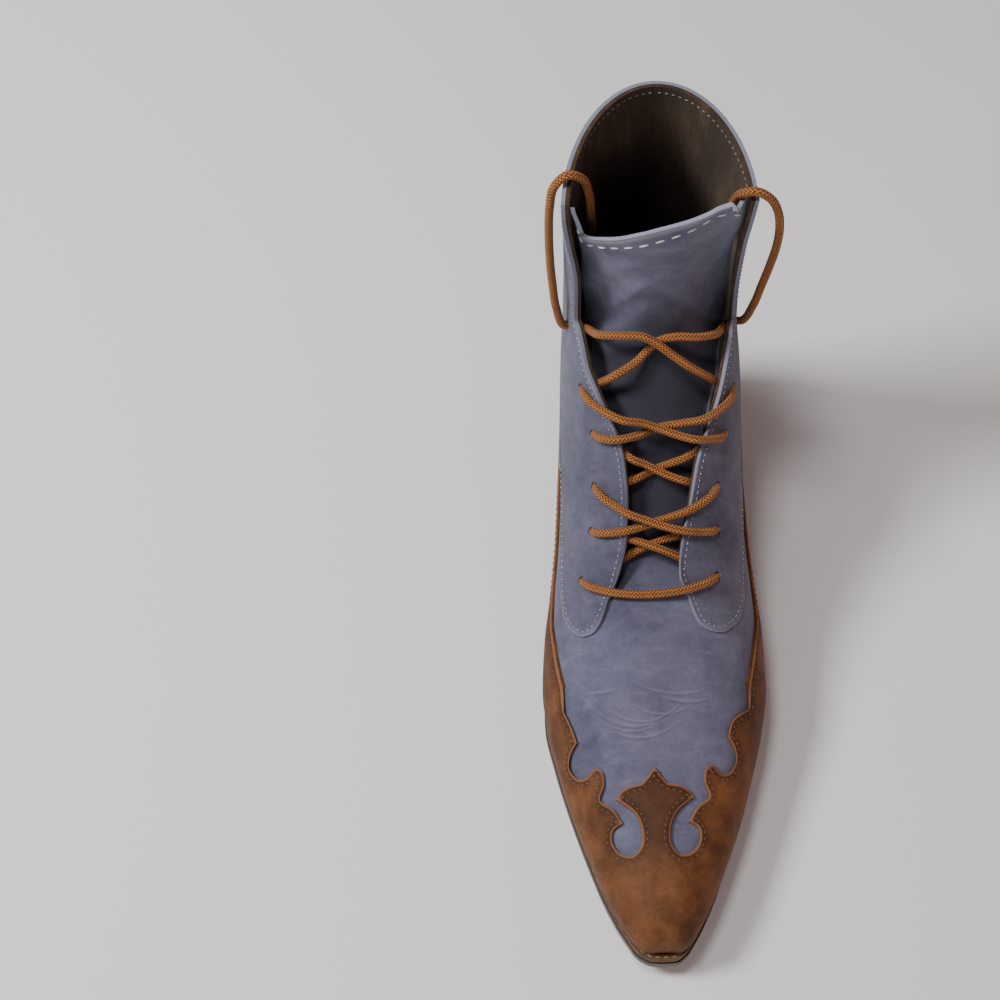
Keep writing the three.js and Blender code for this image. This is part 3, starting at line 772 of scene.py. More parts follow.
# across the tongue: the section that its cut top reaches and how much deeper it sinks there.
# The top slants, and its inner corner curls up.
tongue_top_edge = np.array([
    (-1, 22.9, 0),
    (-0.985, 22.5, 0),
    (-0.96, 21.9, 0),
    (-0.93, 21.6, 0),
    (-0.8, 21.55, 0),
    (-0.6, 21.7, 0),
    (-0.4, 22, 0),
    (-0.2, 22.5, 0.1),
    (0, 22.9, 0.7),
    (0.2, 23.15, 1.1),
    (0.4, 23.25, 2.2),
    (0.5, 23.3, 3.1),
    (0.7, 23.2, 3.4),
    (0.85, 23.1, 2),
    (1, 22.8, 0.3),
])
tongue_edge = edge_table([
    (10.3, 0.19, 0.15),
    (10.9, 0.27, 0.25),
    (11.6, 0.31, 0.3),
    (13, 0.3, 0.34),
    (15, 0.36, 0.38),
    (18, 0.42, 0.46),
    (20, 0.44, 0.48),
    (22.6, 0.41, 0.445),
])
tongue_drop = 15.4
# by section: how far the tongue sinks in its middle and at its inner and outer edges
tongue_depth = np.array([
    (10.3, 0, 0, 0),
    (10.6, 0.2, 0.16, 0.16),
    (10.9, 0.36, 0.31, 0.31),
    (12, 0.42, 0.3, 0.3),
    (13, 0.56, 0.3, 0.3),
    (14, 0.75, 0.3, 0.3),
    (15, 0.92, 0.3, 0.27),
    (16, 1, 0.3, 0.22),
    (18.5, 0.84, 0.3, 0.1),
    (21, 0.58, 0.16, 0.02),
    (22.6, 0.48, 0.04, 0),
])
vamp_creases = [
    dict(number=7.66, middle=-0.1, bow=7.5, reach=0.4, depth=0.2, width=0.035),
    dict(number=7.57, middle=-0.12, bow=7, reach=0.3, depth=0.13, width=0.03),
    dict(number=7.76, middle=-0.06, bow=7.5, reach=0.36, depth=0.16, width=0.03),
    dict(number=7.42, middle=-0.08, bow=6.5, reach=0.34, depth=0.12, width=0.035),
    dict(number=7.9, middle=0.05, bow=8, reach=0.22, depth=0.13, width=0.03),
    dict(number=8.15, middle=0.18, bow=6, reach=0.2, depth=0.13, width=0.04),
    dict(number=8.3, middle=0.12, bow=5, reach=0.26, depth=0.1, width=0.035),
    dict(number=8.4, middle=-0.28, bow=4, reach=0.1, depth=0.15, width=0.035),
]


def ease_up(value, low, high):
    part = np.clip((value - low) / (high - low), 0, 1)
    return part * part * (3 - 2 * part)


def crease_lift(number, share):
    """How far the creases of the vamp lower its surface, and the light painted along them: a highlight on
    their crests and shade in their troughs
    """
    lift = np.zeros_like(share)
    wear_and_painted_light = np.zeros_like(share)
    for crease in vamp_creases:
        off = (share - crease["middle"]) / crease["reach"]
        strength = np.clip(1 - off * off, 0, 1) ** 1.5
        centre = crease["number"] + crease["bow"] * (share - crease["middle"]) ** 2
        across = (number - centre) / crease["width"]
        lift -= crease["depth"] * strength * np.exp(-across * across)
        lift += 0.35 * crease["depth"] * strength * np.exp(-((np.abs(across) - 1.9) ** 2))
        # painted highlight along the crest beside each crease, painted shade down in its trough
        wear_and_painted_light += 0.3 * strength * np.exp(-((across - 1.4) ** 2) * 2.5)
        wear_and_painted_light -= 0.25 * strength * np.exp(-(across**2) * 2.5)
    return lift, np.clip(wear_and_painted_light, -0.35, 0.4)


def set_attribute(piece, name, values):
    """Stores a number for each vertex, given by the spot that the vertex was laid on"""
    mesh = piece.data
    spot = np.empty(len(mesh.vertices), int)
    mesh.attributes["spot"].data.foreach_get("value", spot)
    layer = mesh.attributes.new(name, "FLOAT", "POINT").data
    layer.foreach_set("value", np.asarray(values, float)[spot])


side_columns = 44
middle_columns = 44
vamp_numbers = np.concatenate([
    np.linspace(0, 6.6, 67)[:-1],
    np.linspace(6.6, 9.6, 130)[:-1],
    np.linspace(9.6, throat_start, 9),
])
across_middle = np.sin(np.linspace(-0.5, 0.5, middle_columns + 1) * math.pi)


def middle_shares(number, edge):
    return across_middle * np.where(across_middle < 0, edge(number, -1), edge(number, 1))


def side_shares(numbers, edge, side, columns):
    """Shares from the throat's edge to the foot on one side, closer together by the edge"""
    part = np.linspace(0, 1, columns + 1) ** 1.15
    starts = np.array([edge(number, side) for number in numbers])[:, None]
    return side * (starts + (1 - starts) * part)


def vamp_and_tongue():
    bm = bmesh.new()
    bm.loops.layers.uv.new("sheet")
    spots, wear_and_painted_light, edge_mm = [], [], []
    front = np.array([throat_start])
    middle = middle_shares(throat_start, throat_edge)
    inner_part = side_shares(front, throat_edge, -1, side_columns)[0][::-1]
    outer_part = side_shares(front, throat_edge, 1, side_columns)[0]
    shares = np.concatenate([inner_part[:-1], middle, outer_part[1:]])
    shares = np.broadcast_to(shares, (len(vamp_numbers), len(shares)))
    # light holds the creases' painted highlights and painted shade
    lift, light = crease_lift(vamp_numbers[:, None], shares)
    numbers = vamp_numbers[:, None]
    inside = skin(numbers, shares, lift - leather_thickness)
    add_grid(bm, spots, skin(numbers, shares, lift), inside)
    wear_and_painted_light.append(light.ravel())
    edge_mm.append(np.full(shares.size, no_edge))

    levels = np.linspace(throat_start, 12, 26)[:-1]
    levels = np.concatenate([levels, np.linspace(12, tongue_top, 90)])
    tops = through(tongue_top_edge[:, 0], tongue_top_edge[:, 1], across_middle)
    slant = ease_up(levels, 14, tongue_top)[:, None]
    numbers = levels[:, None] + (tops - tongue_top) * slant
    deeper = through(tongue_top_edge[:, 0], tongue_top_edge[:, 2], across_middle) * slant
    shares = middle_shares(numbers, tongue_edge)
    in_middle, at_inner, at_outer = (
        through(tongue_depth[:, 0], tongue_depth[:, column], numbers) for column in (1, 2, 3)
    )
    at_edge = np.where(across_middle < 0, at_inner, at_outer)
    depth = tongue_drop * (in_middle + (at_edge - in_middle) * across_middle**2)
    grown = np.clip((levels - throat_start) / 1.5, 0, 1)[:, None]
    ripple = 0.5 * np.sin(1.9 * numbers + 0.8 * across_middle)
    ripple = ripple + 0.35 * np.sin(3.7 * numbers - across_middle)
    under_flaps = flap_underside * np.clip(levels - throat_start, 0, 0.7)[:, None] / 0.7
    lift = -depth - grown * (ripple + 0.5) - under_flaps - deeper
    tongue = skin(numbers, shares, lift)
    add_grid(bm, spots, tongue, skin(numbers, shares, lift - leather_thickness))
    to_top = np.linalg.norm(tongue - tongue[-1:], axis=-1)
    # painted shade darkens the tongue's lower part, down in the channel between the flaps; near its top edge
    # the tongue is paler
    painted_shade = -1.0 * (1 - ease_up(numbers, 15.2, 18.6)) * grown
    wear_and_painted_light.append((painted_shade + 0.7 * (1 - ease_up(to_top, 1.6, 4))).ravel())
    to_side = np.minimum(
        np.linalg.norm(tongue - tongue[:, :1], axis=-1),
        np.linalg.norm(tongue - tongue[:, -1:], axis=-1),
    ) + 3 * (1 - grown)
    edge_mm.append(np.minimum(to_top, to_side).ravel())

    numbers = np.linspace(throat_start, 13.7, 18)
    for side in (-1, 1):
        shares = side_shares(numbers, throat_edge, side, side_columns)
        tuck = np.clip((numbers - throat_start) * 4, 0, 1)[:, None] * 0.035 * (1 - np.abs(shares))
        shares = shares + side * tuck
        level = numbers[:, None]
        add_grid(bm, spots, skin(level, shares), skin(level, shares, -leather_thickness))
        wear_and_painted_light.append(np.zeros(shares.size))
        edge_mm.append(np.full(shares.size, no_edge))
    thicken(bm, spots)
    soften(bm)
    surface_tree = BVHTree.FromBMesh(bm)
    piece = new_object("vamp_and_tongue", bm, nubuck("nubuck_vamp"))
    set_attribute(piece, "wear_and_painted_light", np.concatenate(wear_and_painted_light))
    set_attribute(piece, "edge_mm", np.concatenate(edge_mm))
    return piece, surface_tree, tongue


vamp, vamp_surface, tongue_points = vamp_and_tongue()
round_edges(vamp, 0.3)
put_on(vamp, "nubuck", "tongue", "upper")


# Quarters: two pieces of nubuck sewn over the vamp's sides and to each other up the back seam.
# Their front corners are round tabs that curl up a little, and six pairs of lace holes are
# punched along the throat.
facing_lift = 1.2
tucked_lift = 0.15
quarter_thickness = 1.5
tab_curl = 1.3
back_seam_depth = 1.9
tab = np.array([
    (0, 10.8),
    (0.12, 10.45),
    (0.18, 10.05),
    (0.25, 9.82),
    (0.35, 9.75),
    (0.42, 9.85),
    (0.47, 10.07),
    (0.51, 10.4),
    (0.56, 10.9),
    (0.6, 12),
    (0.63, 13.3),
    (1, 13.4),
])
band = np.array([
    (0.3, 0.2),
    (0.34, 0.209),
    (0.38, 0.228),
    (0.434, 0.22),
    (0.486, 0.19),
    (0.556, 0.15),
    (0.642, 0.14),
    (0.73, 0.132),
    (0.816, 0.14),
    (0.903, 0.155),
    (1.02, 0.17),
])
holes = np.array([
    (10.83, 0.367, 0.335),
    (11.8, 0.308, 0.342),
    (12.7, 0.285, 0.335),
    (13.8, 0.285, 0.367),
    (14.9, 0.33, 0.405),
    (17.6, 0.375, 0.425),
])
lace_hole = 3.6


def band_height(along):
    return seat_at(along) + upper_height * through(band[:, 0], band[:, 1], along / sole_length)


def above_band(points):
    return points[..., 2] - band_height(points[..., 1] + heel_centre)


def quarter_grid(side, rows, columns, start_shift):
    """Section numbers and shares of one quarter, from its front edge to the collar"""
    part = np.linspace(0, 1, columns + 1) ** 1.25
    start = np.full(columns + 1, 10.5)
    for _ in range(40):
        edge = throat_edge(start, side)
        start = 0.5 * start + 0.5 * through(tab[:, 0], tab[:, 1], edge + (1 - edge) * part)
    girth = np.linalg.norm(np.diff(surface(10, side * close_shares), axis=0), axis=1).sum()
    corner = np.clip(1 - (1 - throat_edge(start, side)) * part * girth / 9, 0, 1)
    start = start + start_shift + 0.42 * corner**2
    start = start - 0.12 * np.sin(math.pi * np.clip(part * 3.2, 0, 1))
    run = np.linspace(0, 1, rows + 1)[:, None] ** 1.2
    numbers = start[None, :] + (collar - start[None, :]) * run
    edge = throat_edge(numbers, side)
    return numbers, side * (edge + (1 - edge) * part[None, :])


def punch(piece, reach=6):
    """Cuts the lace holes through a piece"""
    bm = bmesh.new()
    for row in holes:
        for side, share in ((-1, -row[1]), (1, row[2])):
            out = Vector(outward(row[0], share))
            middle = Vector(surface(row[0], share)) * millimetre
            matrix = Matrix.Translation(middle) @ out.to_track_quat("Z", "Y").to_matrix().to_4x4()
            bmesh.ops.create_cone(
                bm,
                cap_ends=True,
                segments=20,
                radius1=lace_hole / 2 * millimetre,
                radius2=lace_hole / 2 * millimetre,
                depth=2 * reach * millimetre,
                matrix=matrix,
            )
    punches = new_object("punches", bm, piece.data.materials[0])
    cut_by(piece, punches)


def cut_by(piece, cutter):
    """Cuts one piece by another, keeps the result as its mesh and removes the cutter"""
    cut = piece.modifiers.new("cut", "BOOLEAN")
    cut.object = cutter
    cut.solver = "EXACT"
    graph = bpy.context.evaluated_depsgraph_get()
    whole = bpy.data.meshes.new_from_object(piece.evaluated_get(graph), depsgraph=graph)
    piece.modifiers.remove(cut)
    old, piece.data = piece.data, whole
    whole.name = piece.name
    bpy.data.meshes.remove(old)
    bpy.data.objects.remove(cutter)


def quarters(name, outer_lift, thickness, rows, columns, material, start_shift=0.0, tucked=True):
    bm = bmesh.new()
    bm.loops.layers.uv.new("sheet")
    spots, edge_mm, lines = [], [], []
    for side in (-1, 1):
        numbers, shares = quarter_grid(side, rows, columns, start_shift)
        level = skin(numbers, shares, 0)
        lift = outer_lift
        if tucked:
            rising = ease_up(above_band(level), 0.5, 6)
            lift = tucked_lift + (outer_lift - tucked_lift) * rising
        from_throat = np.linalg.norm(level - level[:, :1], axis=-1)
        from_front = np.linalg.norm(level - level[:1], axis=-1)
        in_corner = (1 - ease_up(from_throat, 4, 24)) * (1 - ease_up(from_front, 0, 14))
        lift = lift + tab_curl * in_corner
        outer = skin(numbers, shares, lift)
        add_grid(bm, spots, outer, skin(numbers, shares, lift - thickness))
        to_throat = np.linalg.norm(outer - outer[:, :1], axis=-1)
        to_front = np.linalg.norm(outer - outer[:1], axis=-1)
        to_collar = np.linalg.norm(outer - outer[-1:], axis=-1)
        to_back = np.linalg.norm(outer - outer[:, -1:], axis=-1) + back_seam_depth
        edge_mm.append(np.minimum.reduce([to_throat, to_front, to_collar, to_back]).ravel())
        out = outward(numbers, shares)
        front = [np.concatenate([part[::-1, 0], part[0, 1:]]) for part in (outer, out)]
        lines.append((*front, outer[-1]))
    thicken(bm, spots)
    soften(bm)
    surface_tree = BVHTree.FromBMesh(bm)
    piece = new_object(name, bm, material)
    set_attribute(piece, "edge_mm", np.concatenate(edge_mm))
    punch(piece)
    round_edges(piece, 0.3)
    return piece, surface_tree, lines


# The quarters' nubuck is the vamp's with its colours scaled to 0.78: painted shade for how the lamp falls on
# their sides.
quarter_leather, quarter_surface, quarter_lines = quarters(
    "quarters", facing_lift, quarter_thickness, 130, 66, nubuck("nubuck_quarters_painted_shade", 0.78)
)
put_on(quarter_leather, "nubuck")


# Lining: brown suede glued inside the quarters and the shaft, cut a little short at the front
# and flush with the collar. Its outer face lies just under the quarters' inner one.
lining_lift = -0.35
lining_thickness = 1.45
lining, lining_surface, _ = quarters(
    "lining", lining_lift, lining_thickness, 70, 40, suede_lining(), start_shift=0.35, tucked=False
)
put_on(lining, "nubuck")


# Wing: brown oiled leather sewn over the nubuck, a scalloped toe piece with a heart between two
# drops that runs back along both sides as a low band and meets behind the heel. Its edges are
# left raw, and one row of stitches follows them.
wing_lift = 1.6
wing_under = -0.1
scallop_middle = -0.024
scallop_strokes = [
    [(0.381, 0.3385), (0.343, 0.316), (0.32, 0.293)],
    [(0.32, 0.293), (0.347, 0.281), (0.354, 0.264), (0.318, 0.245), (0.285, 0.243), (0.244, 0.254)],
    [(0.244, 0.254), (0.218, 0.247), (0.21, 0.23), (0.228, 0.21), (0.177, 0.195), (0.1375, 0.175)],
    [
        (0.1375, 0.175),
        (0.177, 0.167),
        (0.182, 0.152),
        (0.151, 0.135),
        (0.101, 0.13),
        (0.0625, 0.143),
        (0.061, 0.167),
        (0.0865, 0.187),
        (0.161, 0.208),
    ],
    [(0.161, 0.208), (0.142, 0.2165), (0.112, 0.2222), (0.08, 0.2245), (0.054, 0.226)],
    [(0.054, 0.226), (0.028, 0.2355), (0, 0.2475)],
]


def smooth_line(points, step):
    """Evenly spaced points on a smooth line through the given ones"""
    points = np.asarray(points, float)
    gap = np.sqrt(np.linalg.norm(np.diff(points, axis=0), axis=1))[:, None]
    rise = np.diff(points, axis=0) / gap
    pull = np.empty_like(points)
    pull[0], pull[-1] = rise[0], rise[-1]
    pull[1:-1] = rise[:-1] - (points[2:] - points[:-2]) / (gap[:-1] + gap[1:]) + rise[1:]
    part = np.linspace(0, 1, 24, endpoint=False)[:, None]
    dense = []
    for i in range(len(points) - 1):
        ease = part * part * (3 - 2 * part)
        bend = part * (1 - part) * ((1 - part) * pull[i] - part * pull[i + 1]) * gap[i]
        dense.append(points[i] * (1 - ease) + points[i + 1] * ease + bend)
    line = np.concatenate([*dense, points[-1:]])
    run = run_along(line)
    at = np.linspace(0, run[-1], max(int(round(run[-1] / step)), 2) + 1)
    return at_run(at, run, line)


def length_of(line):
    return float(np.linalg.norm(np.diff(line, axis=0), axis=1).sum())


def scallop_outline(ends, step=0.4):
    """The scallop from above, from the inner side's band round the heart to the outer side's"""
    both_halves = []
    for side, end in zip((-1, 1), ends):
        half = []
        for stroke in scallop_strokes:
            points = [
                (side * x * ball_width + scallop_middle * ball_width, along * sole_length, 0)
                for x, along in stroke
            ]
            if stroke is scallop_strokes[0]:
                points[0] = (end, points[0][1], 0)
            line = smooth_line(points, step)
            half.extend(line if stroke is scallop_strokes[-1] else line[:-1])
        both_halves.append(np.array(half)[:, :2] - (0, heel_centre))
    return np.concatenate([both_halves[0], both_halves[1][-2::-1]])


def prism(name, outline_points, move):
    """A prism from a flat outline, given by its points in metres and the move to its far end"""
    bm = bmesh.new()
    face = bm.faces.new([bm.verts.new(point) for point in outline_points])
    far_end = bmesh.ops.extrude_face_region(bm, geom=[face])["geom"]
    moved = [item for item in far_end if isinstance(item, bmesh.types.BMVert)]
    bmesh.ops.translate(bm, verts=moved, vec=move)
    bmesh.ops.recalc_face_normals(bm, faces=bm.faces)
    return new_object(name, bm)


def in_place(points):
    """Points given by their distance from the toe's tip, moved to the part's own frame"""
    return np.asarray(points, float) - (0, heel_centre, 0)


def patch(tree, where, middle, reach):
    """A soft round patch about a place on the boot, given in millimetres from the toe's tip"""
    place = [part * millimetre for part in in_place(middle)]
    away = node(tree, "VectorMath", {0: where, 1: place}, operation="DISTANCE").outputs["Value"]
    return ramp(tree, maths(tree, "DIVIDE", away, reach * millimetre), [(0.3, 1.0), (1.0, 0.0)])


def oiled_leather():
    material, tree = new_material("oiled_leather", Roughness=0.66, Specular_IOR_Level=0.2)
    where = object_places(tree)
    clouds = noise(tree, where, 30, 6, 0.62)
    rubs = noise(tree, where, 110, 6, 0.72)
    pores = noise(tree, where, 1400, 3, 0.62)
    tone = ramp(tree, both(tree, clouds, 0.6, rubs, 0.4), [
        (0.32, (0.06, 0.021, 0.008)),
        (0.46, (0.125, 0.045, 0.016)),
        (0.6, (0.22, 0.085, 0.031)),
        (0.74, (0.34, 0.145, 0.06)),
    ])
    heart = patch(tree, where, (-2, 55, 40), 26)
    browner = blend(tree, maths(tree, "MULTIPLY", heart, 0.55), tone, (0.062, 0.026, 0.014))
    speckled = blend(tree, 0.45, browner, ramp(tree, pores, [(0.3, 0.35), (0.7, 1.0)]), "MULTIPLY")
    edge = node(tree, "Attribute", {}, attribute_name="edge_mm").outputs["Fac"]
    burnished = ramp(tree, maths(tree, "DIVIDE", edge, 8), [(0.1, 0.62), (0.6, 1.0)])
    shaded = blend(tree, 1.0, speckled, burnished, "MULTIPLY")
    raw = ramp(tree, edge, [(0.6, 1.0), (1.0, 0.0)])
    edged = blend(tree, raw, shaded, (0.25, 0.104, 0.04))
    rolled = bump(tree, rolled_edge(tree, edge, 1.3), 0.7)
    grain = both(tree, pores, 0.35, rubs, 0.8)
    return finish_material(material, edged, bump(tree, grain, 0.3, rolled))


wing_tip_thinner = 1.1
wing_tip_round = 0.6
wing_tip_thickness = 0.15


def wing_slab():
    bm = bmesh.new()
    bm.loops.layers.uv.new("sheet")
    spots = []
    numbers = np.linspace(0, 10.3, 150)[:-1]
    numbers = np.concatenate([numbers, np.linspace(10.3, 20, 70)])[:, None]
    shares = np.linspace(-1, 1, 161)
    shares = np.broadcast_to(shares, (len(numbers), len(shares)))
    low_down = np.maximum(ease_up(np.abs(shares), 0.2, 0.8), 1 - ease_up(numbers, 0, 2.2))
    lift = wing_lift - wing_tip_thinner * (1 - ease_up(numbers, 0.5, 3.5)) * low_down
    tip_round = np.sqrt(1 - (1 - np.clip(numbers / wing_tip_round, 0, 1)) ** 2)
    above_thinnest = lift - wing_under - wing_tip_thickness
    lift = wing_under + wing_tip_thickness + above_thinnest * tip_round
    add_grid(bm, spots, skin(numbers, shares, lift), skin(numbers, shares, wing_under))
    thicken(bm, spots)
    return bm


def cast(tree, start, way):
    """Where a ray meets a surface, in millimetres, and the way out of the surface there"""
    place, normal, _, _ = tree.ray_cast(Vector(start) * millimetre, Vector(way).normalized())
    return (place / millimetre, normal) if place else (None, None)


def scallop_on(tree, outline_points):
    found = [cast(tree, (x, y, 200), (0, 0, -1)) for x, y in outline_points]
    found = [pair for pair in found if pair[0]]
    return np.array([place for place, _ in found]), np.array([out for _, out in found])


def band_edge_on(tree, side):
    """The band's top edge on one side, from the scallop back to the middle of the heel"""
    turn_point = 0.86 * sole_length
    straight = np.arange(0.3385 * sole_length, turn_point, 0.8)
    starts = [(side * 90, along, (-side, 0, 0)) for along in straight]
    for angle in np.linspace(0, 0.5 * math.pi, 60)[1:]:
        way = (-side * math.cos(angle), -math.sin(angle), 0)
        starts.append((-90 * way[0], turn_point - 90 * way[1], way))
    places, outs = [], []
    for x, along, way in starts:
        height = band_height(min(along, 1.02 * sole_length))
        for _ in range(3):
            place, out = cast(tree, (x, along - heel_centre, height), way)
            if place is None:
                break
            height = band_height(place[1] + heel_centre)
        if place is not None:
            places.append(place)
            outs.append(out)
    return np.array(places), np.array(outs)


def near_lines(lines):
    points = np.concatenate(lines)
    tree = KDTree(len(points))
    for index, point in enumerate(points):
        tree.insert(point, index)
    tree.balance()
    return tree


def edge_distances(piece, lines):
    """Notes at each vertex how far it lies from a piece's cut edges"""
    tree = near_lines(lines)
    away = [tree.find(vertex.co / millimetre)[2] for vertex in piece.data.vertices]
    piece.data.attributes.new("edge_mm", "FLOAT", "POINT").data.foreach_set("value", away)


def inside_rows(line, outs, margin, surface_tree, edge_tree, closest=0.95):
    """Rows that run inside an edge at a margin, broken where the edge's corners come nearer"""
    ahead_of_it = np.gradient(line, axis=0)
    across = np.cross(outs, ahead_of_it)
    across /= np.maximum(np.linalg.norm(across, axis=1), 1e-9)[:, None]
    rows, places, normals = [], [], []
    for point in line + across * margin:
        place, normal, _, _ = surface_tree.find_nearest(Vector(point) * millimetre)
        place = place / millimetre
        if edge_tree.find(place)[2] < margin * closest:
            continue
        if places and (place - Vector(places[-1])).length > 3:
            rows.append((np.array(places), np.array(normals)))
            places, normals = [], []
        places.append(tuple(place))
        normals.append(tuple(normal))
    rows.append((np.array(places), np.array(normals)))
    return [row for row in rows if len(row[0]) > 4]


wing_bm = wing_slab()
wing_surface = BVHTree.FromBMesh(wing_bm)
wing = new_object("wing_overlay_leather", wing_bm, oiled_leather())
inner_band, inner_outs = band_edge_on(wing_surface, -1)
outer_band, outer_outs = band_edge_on(wing_surface, 1)
scallop_points = scallop_outline((inner_band[0][0], outer_band[0][0]))
window = scallop_points * millimetre
opening = [(x, y, -0.05) for x, y in window]
opening.append((window[-1][0], window[-1][1] + 0.01, -0.05))
opening.append((window[0][0], window[0][1] + 0.01, -0.05))
cut_by(wing, prism("scallop", opening, (0, 0, 0.4)))
band_run = np.linspace(scallop_strokes[0][0][1], band[-1][0], 60) * sole_length
above = [
    (-0.09, (along - heel_centre) * millimetre, band_height(along) * millimetre)
    for along in band_run
]
above.append((-0.09, above[-1][1], 0.35))
above.append((-0.09, above[0][1], 0.35))
cut_by(wing, prism("above_band", above, (0.18, 0, 0)))
scallop_line, scallop_outs = scallop_on(wing_surface, scallop_points)
edge_distances(wing, [scallop_line, inner_band, outer_band])
wing_mesh = bmesh.new()
wing_mesh.from_mesh(wing.data)
soften(wing_mesh, 40)
wing_mesh.to_mesh(wing.data)
wing_mesh.free()
put_on(wing, "wing_leather", "wing_overlay")

wing_edges = near_lines([scallop_line, inner_band, outer_band])
wing_rows = [
    *inside_rows(scallop_line, scallop_outs, -2.1, wing_surface, wing_edges),
    *inside_rows(inner_band, inner_outs, 2.1, wing_surface, wing_edges),
    *inside_rows(outer_band, outer_outs, -2.1, wing_surface, wing_edges),
]
brown_thread = thread("brown_thread", (0.2, 0.095, 0.042), (0.07, 0.03, 0.013))
sew("wing_stitches", wing_rows, 2.6, 1.7, 0.55, brown_thread, "wing_leather")


def needle_holes(name, rows, pitch, width, slot):
    """Small dark dimples between the stitches of a row: painted shadow for the needle holes"""
    black_brown = (0.012, 0.008, 0.006, 1)
    shadow, _ = new_material(f"{name}_shadow", Base_Color=black_brown, Roughness=0.9)
    between = [(line[1:], out[1:]) for line, out in shifted(rows, pitch / 2)]
    sew(name, between, pitch, width, width, shadow, slot)


def shifted(rows, by):
    """Rows that start a little later, so that what is set out on them falls between stitches"""
    later = []
    for line, out in rows:
        keep = run_along(line) >= by
        if keep.sum() > 4:
            later.append((line[keep], out[keep]))
    return later


needle_holes("wing_needle_holes", wing_rows, 2.6, 0.62, "wing_leather")


# Seams of the quarters and the tongue: pale waxed thread in one row inside each front edge and
# the collar, which shows on the lining too, and in two rows up the back seam. Long loose stitches
# of white thread cross the tongue below its top.
pale_thread = thread("pale_thread", (0.62, 0.62, 0.64), (0.3, 0.3, 0.32))
facing_margin = 2.3
collar_margin = 3.0
wall_thickness = 6
back_seam_share = 0.975


def rows_on(surface_tree, lines):
    """Lines moved onto a surface, each with the way out of it"""
    rows = []
    for line in lines:
        found = [surface_tree.find_nearest(Vector(point) * millimetre)[:2] for point in line]
        rows.append((
            np.array([tuple(place / millimetre) for place, _ in found]),
            np.array([tuple(out) for _, out in found]),
        ))
    return rows


def line_below(line):
    """The collar's edge lowered by its margin, without its ends"""
    away = np.linalg.norm(line - line[0], axis=1)
    return line[away > 1.5 * collar_margin] - (0, 0, collar_margin)


def tongue_line(depth):
    """A line across the tongue at a distance below its top edge"""
    to_top = np.linalg.norm(tongue_points - tongue_points[-1:], axis=-1)
    columns = range(3, tongue_points.shape[1] - 3)
    rows = [np.argmin(np.abs(to_top[:, column] - depth)) for column in columns]
    return np.array([tongue_points[row, column] for row, column in zip(rows, columns)])


facing_rows, lining_rows = [], []
for side, (front_line, front_outs, collar_line) in zip((-1, 1), quarter_lines):
    edges = near_lines([front_line])
    dense = smooth_line(front_line[::3], 0.6)
    nearest = [int(np.argmin(np.linalg.norm(front_line - point, axis=1))) for point in dense]
    outs = front_outs[nearest]
    facing_rows.extend(inside_rows(dense, outs, side * facing_margin, quarter_surface, edges, 0.9))
    collar_row = rows_on(quarter_surface, [line_below(collar_line)])
    facing_rows.extend(collar_row)
    lining_rows.extend(rows_on(lining_surface, [line - wall_thickness * out for line, out in collar_row]))
back_seam = np.linspace(heel_section + 0.4, collar - 0.1, 40)
for side in (-1, 1):
    seam_line = skin(back_seam, side * back_seam_share, facing_lift)
    facing_rows.extend(rows_on(quarter_surface, [seam_line]))
sew("facing_stitches", facing_rows, 2.6, 1.5, 0.55, pale_thread, "nubuck")
needle_holes("facing_needle_holes", facing_rows, 2.6, 0.65, "nubuck")
lining_thread = thread("lining_thread", (0.3, 0.26, 0.22), (0.12, 0.1, 0.08))
sew("lining_stitches", lining_rows, 2.6, 1.5, 0.5, lining_thread, "nubuck")
white_thread = thread("white_thread", (0.8, 0.79, 0.76), (0.5, 0.49, 0.47))
tongue_rows = rows_on(vamp_surface, [smooth_line(tongue_line(6.5)[::3], 0.8)])
sew("tongue_stitches", tongue_rows, 6.2, 4.2, 0.9, white_thread, "nubuck")


# Lace: one round braided cord of waxed cotton, dyed orange tan. It goes straight across the
# lowest pair of holes, crosses under and over the flaps in turn, and leaves the top holes as two
# free ends, which stand up outside the flaps and drop over the collar into the shaft.
lace_diameter = 3.4
inner_loop = [
    (-35.2, 235.2, 119.8),
    (-38, 236.4, 130),
    (-39.4, 237.6, 145),
    (-40.2, 238.5, 160),
    (-40.4, 239.5, 175),
    (-39.9, 240.5, 188),
    (-38.2, 241.6, 198),
    (-33.2, 242.6, 203.3),
    (-27.8, 243.8, 199.6),
    (-25.3, 245, 190),
    (-24.4, 246, 178.5),
    (-23.8, 247, 166),
]
outer_loop = [
    (38.2, 240.1, 113.8),
    (41.2, 237.4, 128),
    (42.9, 236, 143),
    (44.7, 235.6, 157),
    (45.8, 235.2, 169),
    (45.7, 234.8, 180),
    (44, 234.4, 190.4),
    (40.4, 234.2, 198.4),
    (35.2, 234.6, 202),
    (30.5, 236.2, 199.6),
    (28.4, 240, 191.5),
    (27.2, 243, 180),
    (26.4, 245.5, 168),
]


def frames_along(line):
    """The way ahead and two ways sideways at each point of a line, without twist"""
    forward = np.gradient(line, axis=0)
    forward /= np.linalg.norm(forward, axis=1)[:, None]
    side = np.empty_like(line)
    start = np.cross(forward[0], (0, 0, 1) if abs(forward[0][2]) < 0.9 else (0, 1, 0))
    side[0] = start / np.linalg.norm(start)
    for i in range(1, len(line)):
        turned = side[i - 1] - forward[i] * np.dot(side[i - 1], forward[i])
        side[i] = turned / np.linalg.norm(turned)
    return side, np.cross(forward, side)


